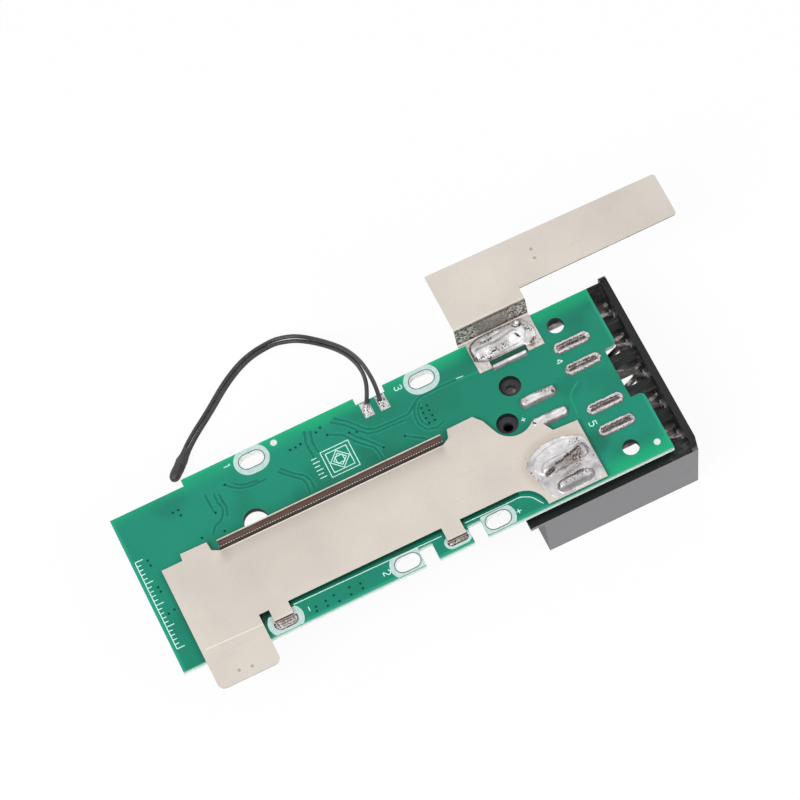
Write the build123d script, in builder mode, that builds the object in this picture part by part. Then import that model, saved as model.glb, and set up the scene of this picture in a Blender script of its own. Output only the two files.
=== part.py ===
from build123d import *
import math
import os

# Battery management board: a populated circuit board that stands on its terminal block.
# Millimetres, +Z up. X runs along the board, Y across it, and the face with the metal strips is up.
# The origin is on the surface the terminal block stands on, in the middle of the block's foot.
# Places on the board are measured inwards from its right end, where the block is: inward() places them.

os.makedirs("parts", exist_ok=True)

# Circuit board
board_length = 108.0
board_width = 40.5
board_thickness = 1.6
board_end = 13.25  # from the middle of the block's foot to the board's right end
tongue_length = 16.5
tongue_inset = 1.6
wire_notch_place = 49.6
wire_notch_width = 6.6
wire_notch_depth = 1.6
recess_width = 12.4
recess_depth = 2.8
recess_round = 1.2
cell_notch_width = 3.05
cell_notch_depth = 3.9
cell_notch_places = (53.7, 42.9)
board_holes = {  # distance from the board's right end, offset from its middle line, radius
    "hole_a": (81.5, 4.85, 2.6),
    "hole_b": (23.3, 7.65, 2.3),
    "hole_c": (27.4, 0.25, 2.3),
    "hole_d": (9.2, 15.65, 1.75),
    "hole_e": (7.7, -16.25, 1.75),
}

# Terminal block
block_height = 13.5  # from the foot to the deck that faces the board
block_gap = 1.4  # between the deck and the board
foot_length = 33.5
block_rim = 1.5  # how far the block stands out past the board's long edges
end_draft = 4.2  # degrees
wall = 1.6
flange_reach = 3.0
flange_thickness = 1.0
deck_thickness = 4.1
mouth_depth = 6.0
mouth_length = 6.0
mouth_width = 5.0
end_wall_thickness = 1.5
end_wall_shoulder = 1.6
rib_thickness = 1.4
rib_length = 18.0
rib_clearance = 0.8  # from the ribs' lower edges to the foot
latch_height = 7.5
latch_length = 15.5
boss_radius = 3.2
pilot_radius = 1.1
pilot_depth = 4.0

# Spring contacts
contact_metal = 0.8
contact_rear = 25.0  # from the board's right end, like the bend of the arms
contact_bend = 4.25
side_room = 0.65
leg_length = 7.0
leg_slot_play = 0.3
fit_gap = 0.1
contact_seat = 0.5  # how far the contacts lie below the deck
plate_height = 2.3
deep_plate_height = 7.5
neck_height = 1.2
touch_height = 4.2
touch_length = 2.2
touch_gap = 0.7
mouth_flare = 1.8
tip_clearance = 0.35
contacts = {  # legs' distance from the board's right end, row from the back, legs' height over the board
    "contact_1": (20.8, 0, 0.7),
    "contact_2": (8.0, 1, 0.1),
    "contact_3": (19.3, 2, 0.6),
    "contact_4": (8.0, 3, 0.1),
    "contact_5": (20.8, 4, 1.5),
}
contact_rows = 5

# Strips of sheet metal
strip_lift = 0.8
strip_metal = 0.15
strip_bend = 0.4
flange_ends = (90.7, 41.0)
flange_fold = 22.0  # from the board's front edge
flange_height = 4.1
flange_crease = 1.7
flange_lean = 0.3
fold_overlap = 1.5  # how much flat sheet is drawn with each fold
strip_edge = 5.4  # from the board's front edge to the strip's long front edge
strip_inner_corner = 27.8
strip_outline = [  # distance from the board's right end, distance from its front edge
    (23.1, 18.0),
    (22.1, 18.5),
    (20.0, 14.4),
    (14.7, 14.1),
    (14.7, 0.0),
    (strip_inner_corner, 0.0),
    (strip_inner_corner, strip_edge),
    (89.6, strip_edge),
    (89.6, -6.0),
    (103.1, -6.0),
    (103.1, 23.4),
    (98.5, 23.4),
    (98.3, 25.0),
    (92.5, 24.9),
    (92.3, 22.8),
    (90.7, 21.9),
    (90.7, 21.0),
    (41.0, 21.0),
    (41.0, 21.9),
    (39.5, 22.8),
    (38.9, 24.7),
    (33.2, 24.8),
    (31.7, 22.9),
    (30.6, 20.0),
]
strip_hollow = (27.0, 16.8)  # the lowest point of the round clearance beside hole_c
strip_round = 5.2
strip_corner_round = 0.8
strip_tabs = ((85.3, 4.2, 2.45), (47.2, 4.1, 2.1))  # place, width, fold's distance from the front edge
strip_tab_reach = 0.3  # below the board
strap_metal = 0.3
strap_bend = 0.6
strap_rise = 6.3
strap_foot_ends = (27.5, 12.9)
strap_foot_depth = 7.3  # from the board's back edge inwards
strap_notch = (24.7, 16.5, 1.7)
strap_riser = 0.7  # outwards from the board's back edge, like the next two
strap_corner = 3.5
strap_far_edge = (15.0, 14.1)
strap_ends = (28.9, -22.9)

# Plated slots for cell tabs
cell_slots = {  # distance from the board's right end, distance from the long edge, and that edge
    "cell_1": (76.8, 2.7, "back"),
    "cell_2": (58.3, 2.1, "front"),
    "cell_3": (38.6, 2.7, "back"),
    "positive": (38.2, 2.1, "front"),
    "negative": (85.2, 2.1, "front"),
}
cell_slot_length = 5.4
cell_slot_width = 3.3
pad_length = 7.6
pad_width = 6.2
plating = 0.08
sense_slot = (47.2, 2.0)
sense_slot_length = 4.8
sense_slot_width = 2.0
sense_pad_rim = 0.5

# Solder
leg_solder_length = 8.1
leg_solder_width = 2.2
rim_solder_height = 0.4
tall_solder_height = 0.95
positive_solder_height = 1.3
negative_solder_height = 1.9
negative_lump = (9.6, 3.6)
puddle_size = (10.4, 10.6)
puddle_corner = 2.0
puddle_height = 0.25
solder_taper = 18
heap_corner = 0.35  # of the heap's width, cut off at each corner

# Thermistor
lead_diameter = 0.9
lead_facets = 8
bend_share = 0.45  # of the shorter run beside each bend, taken by the bend's arc
joint_length = 1.8
joint_width = 1.5
joint_height = 1.15
joint_pad = (2.1, 3.5)
joint_pad_places = {"left": 51.3, "right": 47.8}  # distance from the board's right end
joint_pad_inset = 3.6  # from the board's back edge to the pads' middles
lead_routes = {  # distance from the board's right end, outwards from its back edge, over its top
    "left": [
        (50.95, -2.75, 0.55),
        (49.45, 0.05, 0.55),
        (48.32, 4.51, -1.7),
        (48.2, 9.88, -5.5),
        (49.24, 16.04, -10.3),
        (51.93, 21.72, -14.3),
        (55.65, 25.76, -16.0),
        (58.55, 26.95, -16.0),
        (61.25, 27.55, -16.0),
        (67.0, 26.85, -16.0),
        (72.9, 23.8, -16.0),
        (78.85, 19.15, -16.0),
    ],
    "right": [
        (48.15, -3.4, 0.55),
        (47.55, -0.35, 0.55),
        (47.08, 4.33, -1.7),
        (47.2, 10.11, -5.28),
        (48.54, 16.62, -9.82),
        (51.57, 22.37, -13.59),
        (55.37, 26.37, -15.22),
        (58.27, 27.83, -15.57),
        (61.2, 28.55, -16.0),
        (67.29, 27.81, -16.0),
        (73.44, 24.64, -16.0),
        (79.46, 19.94, -16.0),
    ],
}
lead_sides = {"left": -1, "right": 1}
lead_spacing = 1.0  # between the two leads where they enter the bead
last_run = 2.5
bead_back = (86.71, 13.46)  # distance from the board's right end, outwards from its back edge
bead_turn = 223.2  # degrees from the board's long axis to the way the bead points
bead_length = 7.8
bead_radius = 1.3
bead_neck_radius = 1.0
bead_neck_length = 2.6
bead_tip = ((1.3, 1.0), (0.5, 0.8), (0.0, 0.4))  # distance from the end, share of the bead's radius

# Components on the board's hidden side: distance from its right end, and offset from its middle line
mosfet_places = ((38.0, 0.27), (38.0, -0.22))  # this and the other offsets are shares of the board's width
mosfet_body = (6.1, 6.6, 2.3)
mosfet_tab = (1.3, 5.4, 0.5)
mosfet_leg = (2.6, 0.8, 0.5)
mosfet_leg_spread = 4.56
shunt_place = (52.0, 0.04)
shunt_size = (3.2, 6.4, 0.8)
controller_place = (68.0, -0.05)
controller_body = (9.9, 3.9, 1.5)
controller_stand = 0.15
pin_pitch = 1.27
pins_each_side = 8
pin_width = 0.42
pin_metal = 0.2
pin_span = 6.0
pin_foot = 0.6
resistor_size = (1.6, 0.8, 0.45)
resistor_places = [(77.5 - 2.4 * column, 0.15 + 0.047 * line) for column in range(8) for line in range(2)]
capacitor_size = (1.6, 0.8, 0.8)
capacitor_places = [(77.0 - 3.4 * column, -0.21) for column in range(6)]
transistor_places = ((78.0, -0.065), (78.0, 0.05), (55.5, -0.2), (51.0, -0.1))
transistor_body = (1.3, 2.9, 1.0)
transistor_leg = (0.6, 0.42, 0.15)
transistor_leg_pitch = 1.9
body_chamfer = 0.3

# Derived sizes and places
block_width = board_width + 2 * block_rim
contact_pitch = (block_width - 2 * wall - 2 * side_room) / contact_rows
leg_spread = contact_pitch - rib_thickness - 2 * fit_gap - contact_metal
board_left = board_end - board_length
board_middle = board_end - board_length / 2
front_edge = -board_width / 2
back_edge = board_width / 2
deck_top = block_height
deck_bottom = deck_top - deck_thickness
board_bottom = deck_top + block_gap
board_top = board_bottom + board_thickness
block_left = -foot_length / 2
draft_slope = math.tan(math.radians(end_draft))
end_wall_x = foot_length / 2 + draft_slope * board_top - end_wall_thickness
mouth_x = end_wall_x - mouth_length
strip_bottom = board_top + strip_lift
strip_top = strip_bottom + strip_metal
inner_half = (leg_spread - contact_metal) / 2
outer_half = (leg_spread + contact_metal) / 2


def inward(distance):
    return board_end - distance


def from_front(distance):
    return front_edge + distance


def from_back(distance):
    return back_edge + distance


def row_y(row):
    return contact_pitch * ((contact_rows - 1) / 2 - row)


def slot_place(x, edge_distance, edge):
    y = back_edge - edge_distance if edge == "back" else front_edge + edge_distance
    return (inward(x), y)


def leg_places(name):
    x, row, reach = contacts[name]
    return [(inward(x), row_y(row) + side * leg_spread / 2) for side in (1, -1)]


def save(piece, name):
    piece.part.label = name
    export_step(piece.part, f"parts/{name}.step")


def corner(sketch, place):
    return sketch.vertices().sort_by_distance((*place, 0))[0]


def cut_outline():
    """Take the tongue's steps, the notches and the recess out of the sketch being drawn."""
    with Locations(*[(board_left + tongue_length / 2, side * (board_width - tongue_inset) / 2) for side in (1, -1)]):
        Rectangle(tongue_length, tongue_inset, mode=Mode.SUBTRACT)
    with Locations((inward(wire_notch_place), back_edge - wire_notch_depth / 2)):
        Rectangle(wire_notch_width, wire_notch_depth, mode=Mode.SUBTRACT)
    with Locations(*[(inward(x), from_front(cell_notch_depth / 2)) for x in cell_notch_places]):
        Rectangle(cell_notch_width, cell_notch_depth, mode=Mode.SUBTRACT)
    with Locations((board_end - recess_depth / 2, 0)):
        Rectangle(recess_depth, recess_width, mode=Mode.SUBTRACT)


# Circuit board
with BuildPart() as circuit_board:
    with BuildSketch(Plane.XY.offset(board_bottom)) as board_face:
        with Locations((board_middle, 0)):
            Rectangle(board_length, board_width)
        cut_outline()
        recess_corners = board_face.vertices().group_by(Axis.X)[-1].sort_by(lambda v: abs(v.Y))[:2]
        fillet(recess_corners, recess_round)
        for x, y, radius in board_holes.values():
            with Locations((inward(x), y)):
                Circle(radius, mode=Mode.SUBTRACT)
        with Locations(*[slot_place(*slot) for slot in cell_slots.values()]):
            SlotOverall(cell_slot_length, cell_slot_width, mode=Mode.SUBTRACT)
        with Locations(slot_place(*sense_slot, "front")):
            SlotOverall(sense_slot_length, sense_slot_width, mode=Mode.SUBTRACT)
        for name in contacts:
            with Locations(*leg_places(name)):
                Rectangle(leg_length + 2 * leg_slot_play, contact_metal + 2 * leg_slot_play, mode=Mode.SUBTRACT)
    extrude(amount=board_thickness)
save(circuit_board, "circuit_board")

# Plated slots: a tinned barrel through the board with a pad on each face, cut off at the board's edges
with BuildPart() as plated_slots:
    for pad_face in (board_bottom - plating, board_top):
        with BuildSketch(Plane.XY.offset(pad_face)):
            with Locations(*[slot_place(*slot) for slot in cell_slots.values()]):
                SlotOverall(pad_length, pad_width)
            with Locations(slot_place(*sense_slot, "front")):
                SlotOverall(sense_slot_length + 2 * sense_pad_rim, sense_slot_width + 2 * sense_pad_rim)
            with Locations((board_middle, 0)):
                Rectangle(board_length, board_width, mode=Mode.INTERSECT)
            cut_outline()
        extrude(amount=plating)
    with BuildSketch(Plane.XY.offset(board_bottom)):
        with Locations(*[slot_place(*slot) for slot in cell_slots.values()]):
            SlotOverall(cell_slot_length, cell_slot_width)
        with Locations(slot_place(*sense_slot, "front")):
            SlotOverall(sense_slot_length, sense_slot_width)
    extrude(amount=board_thickness)
    with BuildSketch(Plane.XY.offset(board_bottom - plating)):
        with Locations(*[slot_place(*slot) for slot in cell_slots.values()]):
            SlotOverall(cell_slot_length - 2 * plating, cell_slot_width - 2 * plating)
        with Locations(slot_place(*sense_slot, "front")):
            SlotOverall(sense_slot_length - 2 * plating, sense_slot_width - 2 * plating)
    extrude(amount=board_thickness + 2 * plating, mode=Mode.SUBTRACT)
save(plated_slots, "plated_slots")

# Terminal block: a moulded housing, open below, with a slotted deck and a raised end wall
with BuildPart() as terminal_block:
    with BuildSketch(Plane.XZ):
        with BuildLine():
            Polyline(
                (block_left, 0),
                (block_left, deck_top - flange_thickness),
                (block_left - flange_reach, deck_top - flange_thickness),
                (block_left - flange_reach, deck_top),
                (end_wall_x, deck_top),
                (end_wall_x, board_top),
                (end_wall_x + end_wall_thickness, board_top),
                (foot_length / 2, 0),
                close=True,
            )
        make_face()
    extrude(amount=block_width / 2, both=True)
    end_corners = terminal_block.edges().filter_by(Axis.X).group_by(Axis.Z)[-1].sort_by(Axis.Y)
    chamfer(end_corners[0], board_top - deck_top, end_wall_shoulder)
    fillet(terminal_block.edges().filter_by(Axis.X).group_by(Axis.Z)[-1].sort_by(Axis.Y)[-1], end_wall_shoulder)
    hollow_width = block_width - 2 * wall
    with Locations((block_left + wall, 0, 0)):
        Box(
            mouth_x - block_left - wall,
            hollow_width,
            deck_bottom,
            align=(Align.MIN, Align.CENTER, Align.MIN),
            mode=Mode.SUBTRACT,
        )
    with Locations((mouth_x, 0, 0)):
        Box(
            foot_length,
            hollow_width,
            deck_top - mouth_depth,
            align=(Align.MIN, Align.CENTER, Align.MIN),
            mode=Mode.SUBTRACT,
        )
    with Locations((foot_length / 2 - latch_length, block_width / 2 - wall, 0)):
        Box(foot_length, wall, latch_height, align=(Align.MIN, Align.MIN, Align.MIN), mode=Mode.SUBTRACT)
    window_left = inward(contact_rear) - contact_metal
    for row in range(contact_rows):
        with Locations((window_left, row_y(row), deck_top - mouth_depth)):
            Box(
                mouth_x - window_left,
                contact_pitch - rib_thickness,
                mouth_depth,
                align=(Align.MIN, Align.CENTER, Align.MIN),
                mode=Mode.SUBTRACT,
            )
            Box(
                end_wall_x - window_left,
                mouth_width,
                mouth_depth,
                align=(Align.MIN, Align.CENTER, Align.MIN),
                mode=Mode.SUBTRACT,
            )
    boss_places = [(inward(board_holes[name][0]), board_holes[name][1]) for name in ("hole_b", "hole_c")]
    with Locations(*[(x, y, deck_top) for x, y in boss_places]):
        Cylinder(boss_radius, block_gap, align=(Align.CENTER, Align.CENTER, Align.MIN))
    with Locations(*[(x, y, board_bottom) for x, y in boss_places]):
        Cylinder(pilot_radius, pilot_depth, align=(Align.CENTER, Align.CENTER, Align.MAX), mode=Mode.SUBTRACT)
save(terminal_block, "terminal_block")

# The block's ribs, one between each two contacts, drawn as solids of their own from the same moulding
with BuildPart() as block_ribs:
    rib_middles = [row_y(row) - contact_pitch / 2 for row in range(contact_rows - 1)]
    with Locations(*[(block_left + wall, y, rib_clearance) for y in rib_middles]):
        Box(
            rib_length,
            rib_thickness,
            deck_bottom - rib_clearance,
            align=(Align.MIN, Align.CENTER, Align.MIN),
        )
save(block_ribs, "block_ribs")

# Spring contacts: one folded sheet each, with two solder legs and two arms that pinch a blade
contact_top = deck_top - contact_seat
rib_end = block_left + wall + rib_length
bend_x = inward(contact_bend)
touch_x = end_wall_x - tip_clearance - touch_length
rear = inward(contact_rear)
contact_parts = {}
for name, (x, row, reach) in contacts.items():
    half_outline = [
        (rear, outer_half),
        (bend_x, outer_half),
        (touch_x, touch_gap / 2 + contact_metal),
        (touch_x + touch_length, mouth_flare / 2 + contact_metal),
        (touch_x + touch_length, mouth_flare / 2),
        (touch_x, touch_gap / 2),
        (bend_x, inner_half),
        (rear + contact_metal, inner_half),
    ]
    outline = half_outline + [(px, -py) for px, py in reversed(half_outline)]
    with BuildPart() as contact:
        with BuildSketch(Plane.XY.offset(contact_top - deep_plate_height)) as sheet_outline:
            with Locations((0, row_y(row))):
                Polygon(*outline, align=None)
            rear_corners = sheet_outline.vertices().group_by(Axis.X)
            fillet(rear_corners[0], 1.5 * contact_metal)
        extrude(amount=deep_plate_height)
        for cut_from, cut_to, kept in (
            (rib_end, bend_x, plate_height),
            (bend_x, touch_x, neck_height),
            (touch_x, touch_x + touch_length, touch_height),
        ):
            with Locations((cut_from, row_y(row), contact_top - kept)):
                Box(
                    cut_to - cut_from,
                    contact_pitch,
                    deep_plate_height - kept,
                    align=(Align.MIN, Align.CENTER, Align.MAX),
                    mode=Mode.SUBTRACT,
                )
        with BuildSketch(Plane.XY.offset(contact_top - contact_metal)):
            with Locations(*leg_places(name)):
                Rectangle(leg_length, contact_metal)
        extrude(amount=board_top + reach - contact_top + contact_metal)
    save(contact, name)
    contact_parts[name] = contact.part

# Negative strip: flat sheet with a flange along its back, two tabs folded into the board and a free tab
with BuildPart() as negative_strip:
    with BuildSketch(Plane.XY.offset(strip_bottom)) as strip_face:
        corners = [(inward(x), from_front(y)) for x, y in strip_outline]
        with BuildLine():
            Polyline(*corners)
            ThreePointArc(corners[-1], (inward(strip_hollow[0]), from_front(strip_hollow[1])), corners[0])
        make_face()
        fillet(corner(strip_face, (inward(strip_inner_corner), from_front(strip_edge))), strip_round)
        fillet(strip_face.vertices().group_by(Axis.Y)[0], 2 * strip_corner_round)
        with Locations(*leg_places("contact_5")):
            Rectangle(leg_length + 4 * leg_slot_play, contact_metal + 4 * leg_slot_play, mode=Mode.SUBTRACT)
    extrude(amount=strip_metal)
    flange_front = from_front(flange_fold)
    flange_back = flange_front + strip_metal
    flange_foot = flange_front - fold_overlap
    flange_top = strip_bottom + flange_height
    crease_height = strip_bottom + flange_crease
    with BuildSketch(Plane.YZ.offset(inward(flange_ends[0]))) as flange_face:
        Polygon(
            (flange_foot, strip_bottom),
            (flange_back, strip_bottom),
            (flange_back, crease_height),
            (flange_back + flange_lean, flange_top),
            (flange_front + flange_lean, flange_top),
            (flange_front, crease_height),
            (flange_front, strip_top),
            (flange_foot, strip_top),
            align=None,
        )
        fillet(corner(flange_face, (flange_back, strip_bottom)), strip_bend + strip_metal)
        fillet(corner(flange_face, (flange_front, strip_top)), strip_bend)
    extrude(amount=flange_ends[0] - flange_ends[1])
    for x, width, fold in strip_tabs:
        tab_front = from_front(fold)
        tab_back = tab_front + strip_metal
        tab_root = from_front(strip_edge) + fold_overlap
        tab_end = board_bottom - strip_tab_reach
        with BuildSketch(Plane.YZ.offset(inward(x) - width / 2)) as tab_face:
            Polygon(
                (tab_root, strip_top),
                (tab_front, strip_top),
                (tab_front, tab_end),
                (tab_back, tab_end),
                (tab_back, strip_bottom),
                (tab_root, strip_bottom),
                align=None,
            )
            fillet(corner(tab_face, (tab_front, strip_top)), strip_bend + strip_metal)
            fillet(corner(tab_face, (tab_back, strip_bottom)), strip_bend)
        extrude(amount=width)
save(negative_strip, "negative_strip")

# Positive strap: a foot soldered to the board, a riser past the back edge and an arm that runs out over the end
riser_front = from_back(strap_riser)
riser_back = riser_front + strap_metal
foot_front = from_back(-strap_foot_depth)
strap_top = board_top + strap_rise
strap_under = strap_top - strap_metal
with BuildPart() as positive_strap:
    with BuildSketch(Plane.YZ.offset(inward(strap_ends[0]))) as strap_face:
        Polygon(
            (foot_front, board_top),
            (riser_back, board_top),
            (riser_back, strap_under),
            (from_back(strap_corner), strap_under),
            (from_back(strap_corner), strap_top),
            (riser_front, strap_top),
            (riser_front, board_top + strap_metal),
            (foot_front, board_top + strap_metal),
            align=None,
        )
        for outer_bend in ((riser_back, board_top), (riser_front, strap_top)):
            fillet(corner(strap_face, outer_bend), strap_bend + strap_metal)
        for inner_bend in ((riser_front, board_top + strap_metal), (riser_back, strap_under)):
            fillet(corner(strap_face, inner_bend), strap_bend)
    extrude(amount=strap_ends[0] - strap_foot_ends[1])
    with BuildSketch(Plane.XY.offset(strap_under)) as arm_face:
        Polygon(
            (inward(strap_ends[0]), from_back(strap_corner)),
            (inward(strap_ends[1]), from_back(strap_corner)),
            (inward(strap_ends[1]), from_back(strap_far_edge[1])),
            (inward(strap_ends[0]), from_back(strap_far_edge[0])),
            align=None,
        )
        fillet(arm_face.vertices().group_by(Axis.X)[-1], strip_corner_round)
    extrude(amount=strap_metal)
    with BuildSketch(Plane.XY.offset(board_top)):
        foot_step = strap_ends[0] - strap_foot_ends[0]
        with Locations((inward(strap_ends[0]) + foot_step / 2, (foot_front + from_back(strap_riser)) / 2 - strap_bend)):
            Rectangle(foot_step, strap_foot_depth + strap_riser)
        with Locations((inward((strap_notch[0] + strap_notch[1]) / 2), foot_front)):
            Rectangle(strap_notch[0] - strap_notch[1], 2 * strap_notch[2])
        with Locations(leg_places("contact_1")[0]):
            Rectangle(leg_length + 4 * leg_slot_play, contact_metal + 4 * leg_slot_play)
    extrude(amount=strap_metal, mode=Mode.SUBTRACT)
save(positive_strap, "positive_strap")

# Solder: every heap is drawn whole, then the metal it surrounds is taken out of it


def heap(name, length, width, height):
    """Both legs' solder: it fills their slots in the board and stands up around them."""
    with BuildPart() as drawn:
        with BuildSketch(Plane.XY.offset(board_bottom)):
            with Locations(*leg_places(name)):
                Rectangle(leg_length + 2 * leg_slot_play, contact_metal + 2 * leg_slot_play)
        extrude(amount=board_thickness)
        with BuildSketch(Plane.XY.offset(board_top)) as drawn_face:
            with Locations(*leg_places(name)):
                Rectangle(length, width)
            chamfer(drawn_face.vertices(), heap_corner * width)
        extrude(amount=height, taper=solder_taper)
    return drawn.part


with BuildPart() as leg_solder:
    for name, height in (
        ("contact_2", rim_solder_height),
        ("contact_3", tall_solder_height),
        ("contact_4", rim_solder_height),
    ):
        add(heap(name, leg_solder_length, leg_solder_width, height))
        add(contact_parts[name], mode=Mode.SUBTRACT)
    add(negative_strip.part, mode=Mode.SUBTRACT)
    with Locations(*[(*place, board_top) for name in ("contact_2", "contact_4") for place in leg_places(name)]):
        Box(
            leg_length,
            contact_metal,
            rim_solder_height,
            align=(Align.CENTER, Align.CENTER, Align.MIN),
            mode=Mode.SUBTRACT,
        )
save(leg_solder, "leg_solder")

with BuildPart() as positive_solder:
    add(heap("contact_1", leg_solder_length, leg_solder_width, positive_solder_height))
    add(positive_strap.part, mode=Mode.SUBTRACT)
    add(contact_parts["contact_1"], mode=Mode.SUBTRACT)
save(positive_solder, "positive_solder")

with BuildPart() as negative_solder:
    add(heap("contact_5", *negative_lump, negative_solder_height))
    with BuildSketch(Plane.XY.offset(strip_top)) as puddle_face:
        with Locations((inward(contacts["contact_5"][0]), row_y(contacts["contact_5"][1]))):
            Rectangle(*puddle_size)
        chamfer(puddle_face.vertices(), puddle_corner)
    extrude(amount=puddle_height)
    add(negative_strip.part, mode=Mode.SUBTRACT)
    add(contact_parts["contact_5"], mode=Mode.SUBTRACT)
save(negative_solder, "negative_solder")

# Solder behind the folded tabs, filling the rest of their slots
with BuildPart() as tab_solder:
    with BuildSketch(Plane.XY.offset(board_bottom)):
        with Locations(slot_place(*cell_slots["negative"])):
            SlotOverall(cell_slot_length - 2 * plating, cell_slot_width - 2 * plating)
        with Locations(slot_place(*sense_slot, "front")):
            SlotOverall(sense_slot_length - 2 * plating, sense_slot_width - 2 * plating)
        for x, width, fold in strip_tabs:
            with Locations((inward(x), from_front(fold) + strip_metal)):
                Rectangle(pad_length, pad_width, align=(Align.CENTER, Align.MAX), mode=Mode.SUBTRACT)
    extrude(amount=board_thickness)
save(tab_solder, "tab_solder")

# Thermistor: two pads, two joints, two insulated wires and the dipped bead
routes = {}
headings = {}
bead_origin = Vector(inward(bead_back[0]), from_back(bead_back[1]), bead_radius)
bead_heading = Vector(1, 0, 0).rotate(Axis.Z, bead_turn)
bead_sideways = bead_heading.cross(Vector(0, 0, 1))
for side, points in lead_routes.items():
    entry = bead_origin + bead_sideways * lead_sides[side] * lead_spacing / 2
    routes[side] = [(inward(x), from_back(y), board_top + z) for x, y, z in points]
    routes[side] += [tuple(entry - bead_heading * last_run), tuple(entry)]
    start = Vector(*routes[side][0])
    headings[side] = (Vector(*routes[side][1]) - start).normalized()


with BuildPart() as thermistor_pads:
    with BuildSketch(Plane.XY.offset(board_top)):
        with Locations(*[(inward(x), from_back(-joint_pad_inset)) for x in joint_pad_places.values()]):
            Rectangle(*joint_pad)
    extrude(amount=plating)
save(thermistor_pads, "thermistor_pads")

with BuildPart() as thermistor_solder:
    for side in routes:
        end_face = Plane(
            origin=(*routes[side][0][:2], board_top + plating),
            x_dir=headings[side].cross(Vector(0, 0, 1)),
            z_dir=-headings[side],
        )
        with BuildSketch(end_face):
            Ellipse(joint_width / 2, joint_height)
            Rectangle(joint_width, joint_height, align=(Align.CENTER, Align.MIN), mode=Mode.INTERSECT)
        extrude(amount=joint_length)
save(thermistor_solder, "thermistor_solder")


def bend_radii(route):
    radii = []
    for before, here, after in zip(route, route[1:], route[2:]):
        incoming = Vector(*here) - Vector(*before)
        outgoing = Vector(*after) - Vector(*here)
        half_turn = math.radians(incoming.get_angle(outgoing)) / 2
        radii.append(bend_share * min(incoming.length, outgoing.length) / math.tan(half_turn))
    return radii


for side, route in routes.items():
    radii = bend_radii(route)
    print(f"{side} lead: smallest bend radius {min(radii):.1f} mm at {lead_diameter} mm diameter")
    with BuildPart() as thermistor_lead:
        with BuildLine() as lead_line:
            FilletPolyline(*route, radius=radii)
        with BuildSketch(Plane(origin=route[0], z_dir=headings[side])):
            section = RegularPolygon(lead_diameter / 2, lead_facets)
        sweep()
    tube = section.area * lead_line.wires()[0].length
    print(f"  length {lead_line.wires()[0].length:.1f} mm, volume {thermistor_lead.part.volume:.2f} against {tube:.2f}")
    save(thermistor_lead, f"thermistor_lead_{side}")

bead_profile = [(0, 0), (0, bead_neck_radius), (bead_neck_length, bead_radius)]
bead_profile += [(bead_length - back, share * bead_radius) for back, share in bead_tip]
with BuildPart() as thermistor_bead:
    with BuildSketch(Plane(origin=bead_origin, x_dir=bead_heading, z_dir=bead_sideways)):
        Polygon(*bead_profile, (bead_length, 0), align=None)
    revolve(axis=Axis(bead_origin, bead_heading))
save(thermistor_bead, "thermistor_bead")

# Components on the hidden side, each hanging from the board's underside
hanging = (Align.CENTER, Align.CENTER, Align.MAX)


def under(places):
    return [(inward(x), share * board_width, board_bottom) for x, share in places]


with BuildPart() as mosfet_bodies:
    with Locations(*under(mosfet_places)):
        Box(*mosfet_body, align=hanging)
    chamfer(mosfet_bodies.edges().filter_by(Axis.Y).group_by(Axis.Z)[0], body_chamfer)
save(mosfet_bodies, "mosfet_bodies")

with BuildPart() as mosfet_terminals:
    for x, y, z in under(mosfet_places):
        with Locations((x + (mosfet_body[0] + mosfet_tab[0]) / 2, y, z)):
            Box(*mosfet_tab, align=hanging)
        leg_x = x - (mosfet_body[0] + mosfet_leg[0]) / 2
        with Locations(*[(leg_x, y + side * mosfet_leg_spread / 2, z) for side in (1, -1)]):
            Box(*mosfet_leg, align=hanging)
save(mosfet_terminals, "mosfet_terminals")

with BuildPart() as shunt_resistor:
    with Locations(*under([shunt_place])):
        Box(*shunt_size, align=hanging)
    with Locations(*under([shunt_place])):
        Box(
            shunt_size[0],
            shunt_size[1] / 3,
            shunt_size[2] / 4,
            align=hanging,
            mode=Mode.SUBTRACT,
        )
save(shunt_resistor, "shunt_resistor")

with BuildPart() as controller_chip:
    with Locations(*[(x, y, z - controller_stand) for x, y, z in under([controller_place])]):
        Box(*controller_body, align=hanging)
    chamfer(controller_chip.edges().filter_by(Axis.X).group_by(Axis.Z)[0], body_chamfer)
save(controller_chip, "controller_chip")

chip_x, chip_y, chip_z = under([controller_place])[0]
body_side = controller_body[1] / 2
pin_level = board_bottom - controller_stand - controller_body[2] / 2
with BuildPart() as controller_pins:
    for number in range(pins_each_side):
        pin_x = chip_x + (number - (pins_each_side - 1) / 2) * pin_pitch - pin_width / 2
        for side in (1, -1):
            steps = [
                (body_side, pin_level),
                (pin_span / 2 - pin_foot, pin_level),
                (pin_span / 2 - pin_foot, board_bottom),
                (pin_span / 2, board_bottom),
                (pin_span / 2, board_bottom - pin_metal),
                (pin_span / 2 - pin_foot + pin_metal, board_bottom - pin_metal),
                (pin_span / 2 - pin_foot + pin_metal, pin_level - pin_metal),
                (body_side, pin_level - pin_metal),
            ]
            with BuildSketch(Plane.YZ.offset(pin_x)):
                Polygon(*[(chip_y + side * y, z) for y, z in steps], align=None)
            extrude(amount=pin_width)
save(controller_pins, "controller_pins")

with BuildPart() as chip_resistors:
    with Locations(*under(resistor_places)):
        Box(*resistor_size, align=hanging)
save(chip_resistors, "chip_resistors")

with BuildPart() as chip_capacitors:
    with Locations(*under(capacitor_places)):
        Box(*capacitor_size, align=hanging)
save(chip_capacitors, "chip_capacitors")

with BuildPart() as transistors:
    with Locations(*under(transistor_places)):
        Box(*transistor_body, align=hanging)
    chamfer(transistors.edges().filter_by(Axis.Y).group_by(Axis.Z)[0], body_chamfer / 2)
save(transistors, "transistors")

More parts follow.
